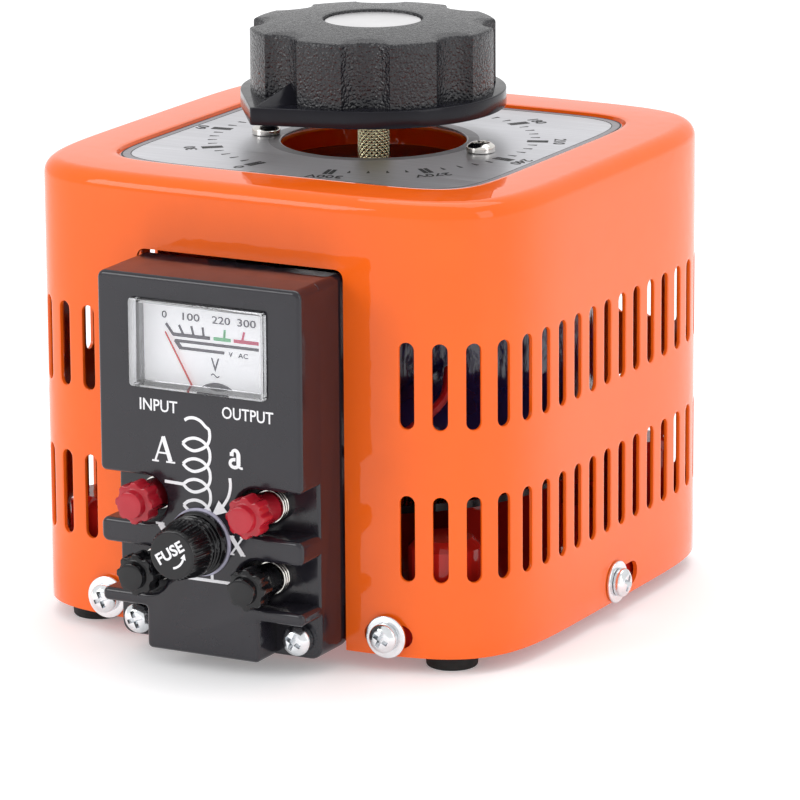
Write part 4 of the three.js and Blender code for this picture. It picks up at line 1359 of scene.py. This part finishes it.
def build_scale():
    wave = [(-1.85 + 0.26 * i, 15.8 + 0.42 * math.sin(i * TAU / 10)) for i in range(11)]
    scale_print("scale_marks", INK_GREY, [
        ([(-13.4, 25.9), (-1.9, 25.9)], 1.0),
        ([(-15.5, 28.7), (-13.2, 25.8)], 0.85),
        ([(-11.5, 28.65), (-10.2, 26.2)], 0.7),
        ([(-7.7, 28.7), (-7.0, 26.2)], 0.7),
        ([(-4.2, 28.7), (-3.9, 26.2)], 0.7),
        ([(-12.9, 24.25), (12.9, 24.25)], 0.85),
        ([(-11.1, 22.35), (2.4, 22.35)], 0.85),
        ([(-12.6, 24.4), (-10.9, 22.2)], 1.2),
        (wave, 0.36),
    ], [
        ("0", -15.95, 31.1, 2.0, 1.6),
        ("100", -7.7, 31.1, 2.1, 5.3),
        ("220", 1.5, 31.1, 2.1, 5.6),
        ("300", 9.3, 31.1, 2.1, 5.7),
        ("V", 4.3, 22.1, 1.4, 1.3),
        ("AC", 8.1, 22.1, 1.4, 3.1),
        ("V", -0.5, 18.8, 3.75, 2.6),
    ])
    scale_print("scale_green", INK_GREEN, [
        ([(-0.9, 25.95), (4.4, 25.95)], 1.0),
        ([(2.6, 28.7), (2.4, 26.2)], 0.7),
    ])
    scale_print("scale_red", INK_RED, [
        ([(5.25, 25.95), (12.9, 25.95)], 1.0),
        ([(8.5, 28.7), (7.9, 26.2)], 0.7),
    ])
    low, high = cad_box("meter_scale_plate")
    card = built(slab, [(low.x, low.z), (high.x, low.z), (high.x, high.z), (low.x, high.z)], -high.y, -low.y)
    piece("scale_card", card, WHITE_FACE, "housing", "scale_white", ["meter_scale_plate"],
          matrix=facing_front(0, 0))


def build_movement():
    """The round cover over the coil, part of which shows over the window's sill."""
    low, high = cad_box("meter_movement")
    radius, thick = (high.x - low.x) / 2, 0.38
    dome = built(turned, rounded([(0, 0, 0), (radius, 0, 0), (radius, thick, 0.3), (0, thick, 0)], 4), 96)
    x, _, z = cad_middle("meter_movement")
    piece("movement_cover", dome, MOVEMENT_GREY, "housing", "black_gloss", ["meter_movement"],
          matrix=facing_front(x, z) @ Matrix.Translation((0, 0, -high.y)))


def build_needle():
    low, high = cad_box("meter_needle")
    back, front = -high.y, -low.y
    middle = (back + front) / 2
    root = (PIVOT.x, PIVOT.z)
    bm = built(stroke, [root, (low.x + 0.2, high.z - 0.1)], [0.62, 0.34], middle - 0.16, middle + 0.16)
    hub = rounded([(0, back, 0), (1.5, back, 0.2), (1.5, front, 0.2), (0, front, 0)], 3)
    added(bm, lambda part: turned(part, hub, 32), Matrix.Translation((*root, 0)))
    piece("needle_pointer", bm, NEEDLE_RED, "needle", "needle_red", ["meter_needle"],
          matrix=facing_front(0, 0))


build_window()
build_scale()
build_movement()
build_needle()


# ---- inside

TURNS = 300


def build_winding():
    """The winding as separate turns of wire round the core, with a gap where the leads come out."""
    low, high = cad_box("toroid_winding")
    inner, outer = 27.4, high.x - 0.35
    bottom, top = low.z + 0.4, high.z - 0.4
    wire, wire_sides = 0.33, 5
    corners = [(inner, bottom, 2.5), (outer, bottom, 3.5), (outer, top, 3.5), (inner, top, 2.5)]
    path = rounded(corners, 3, closed=True)
    gap = math.radians(24)
    bm = bmesh.new()
    for turn in range(TURNS):
        angle = -math.pi / 2 + gap / 2 + (TAU - gap) * (turn + 0.5) / TURNS
        c, s = math.cos(angle), math.sin(angle)
        rings = []
        for i, (radius, z) in enumerate(path):
            ahead = (Vector(path[(i + 1) % len(path)]) - Vector(path[i - 1])).normalized()
            ring = []
            for swing in even_angles(wire_sides):
                r = radius + ahead.y * wire * math.cos(swing)
                up = z - ahead.x * wire * math.cos(swing)
                side = wire * math.sin(swing)
                ring.append((r * c - side * s, r * s + side * c, up))
            rings.append(ring)
        skin(bm, rings, wrap=True)
    piece("winding_turns", bm, WIRE, "housing", "winding_copper", ["toroid_winding"], crease=80)


def build_film():
    """Crinkled film wrapped round the winding."""
    low, high = cad_box("insulating_film")
    middle, half_thick, rows = 61.85, 0.08, 24
    outer, inner = [], []
    for row in range(rows + 1):
        z = low.z + (high.z - low.z) * row / rows
        ring_out, ring_in = [], []
        for angle in even_angles(360):
            x, y = polar(1, angle)
            crinkle = noise.noise(Vector((x * 9, y * 9, z * 0.06)))
            crinkle += 0.5 * noise.noise(Vector((x * 24, y * 24, z * 0.16)))
            radius = middle + 0.3 * max(-1, min(1, crinkle * 1.6))
            ring_out.append((x * (radius + half_thick), y * (radius + half_thick), z))
            ring_in.append((x * (radius - half_thick), y * (radius - half_thick), z))
        outer.append(ring_out)
        inner.append(ring_in)
    band = built(skin, outer + inner[::-1], wrap=True)
    piece("film_band", band, FILM, "housing", "film_navy", ["insulating_film"], crease=80)


build_winding()
build_film()


def build_feet():
    for corner in ("front_left", "front_right", "rear_left", "rear_right"):
        node = f"foot_{corner}"
        low, high = cad_box(node)
        radius = (high.x - low.x) / 2
        profile = rounded([
            (0, 1.4, 0), (2.6, 1.4, 0.2), (3.0, 0, 0.3), (radius - 0.5, 0, 0.8), (radius, high.z, 0),
            (0, high.z, 0),
        ])
        x, y, _ = cad_middle(node)
        piece(f"rubber_{corner}", built(turned, profile), RUBBER, "housing", "black_rubber", [node],
              matrix=Matrix.Translation((x, y, 0)))


build_feet()


# ---- CAD parts that stay as they are

KEPT = {
    "base_casting": RED_PAINT,
    "toroid_core": STEEL,
    "lower_insulator": BLOCK_BLACK,
    "clamp_plate": BLOCK_BLACK,
    "upper_bushing": BRASS,
    "lower_bushing": BRASS,
    "meter_case": GLOSS_BLACK,
    "fuse_cartridge": TUBE,
    "lead_output": CABLE_RED,
    "lead_common": CABLE_BLACK,
    "shaft_collar": STEEL,
    "brush_arm": FLANGE_BLACK,
    "carbon_brush": CARBON,
}
for row in ("upper", "lower"):
    for side in ("left", "right"):
        for part in ("stud", "insert"):
            KEPT[f"post_{part}_{row}_{side}"] = BRASS
for node, material in KEPT.items():
    mesh = frame["nodes"][node].data
    mesh.materials.clear()
    mesh.materials.append(material)


# ---- floor, light and camera


def area_light(name, place, target, width, height, power):
    light = bpy.data.lights.new(name, "AREA")
    light.shape = "RECTANGLE"
    light.size = width
    light.size_y = height
    light.energy = power
    obj = staged(name, light)
    obj.location = place
    obj.rotation_euler = (Vector(target) - Vector(place)).to_track_quat("-Z", "Y").to_euler()


def build_floor():
    bm = bmesh.new()
    size = 6.0
    corners = ((-size, -size), (size, -size), (size, size), (-size, size))
    bm.faces.new([bm.verts.new((x, y, 0)) for x, y in corners])
    floor = staged("floor", baked(bm, "floor"))
    made = Surface("floor_white", (0.93, 0.93, 0.94), 0.6, Emission_Color=(1, 1, 1, 1),
                   Emission_Strength=0.22)
    made.mottle(2, 0.01)
    floor.data.materials.append(made.material)


def build_light():
    world = bpy.data.worlds.new("studio")
    bpy.context.scene.world = world
    world.use_nodes = True
    background = world.node_tree.nodes["Background"]
    background.inputs["Color"].default_value = (1.0, 1.0, 1.0, 1)
    background.inputs["Strength"].default_value = 0.92
    area_light("front_left", (-0.9, -1.2, 0.75), (0, -0.02, 0.08), 0.7, 0.7, 6)
    area_light("right", (1.3, -0.25, 0.55), (0, 0, 0.07), 0.5, 0.9, 2.5)
    area_light("top", (0.0, 0.35, 1.25), (0, 0, 0.1), 1.1, 0.8, 5)


def build_camera():
    """The photograph's view: 28 degrees to the right of the front, looking down 14 degrees."""
    camera = bpy.data.cameras.new("camera")
    camera.lens = 256.95
    camera.sensor_width = 36
    obj = staged("camera", camera)
    place = PLACE @ Vector(CAMERA_PLACE)
    target = PLACE @ Vector(CAMERA_TARGET)
    aim = (target - place).to_track_quat("-Z", "Y").to_matrix().to_4x4()
    obj.matrix_world = Matrix.Translation(place) @ aim @ Matrix.Rotation(CAMERA_ROLL, 4, "Z")
    bpy.context.scene.camera = obj


build_floor()
build_light()
build_camera()
bpy.context.scene.view_settings.view_transform = "Standard"
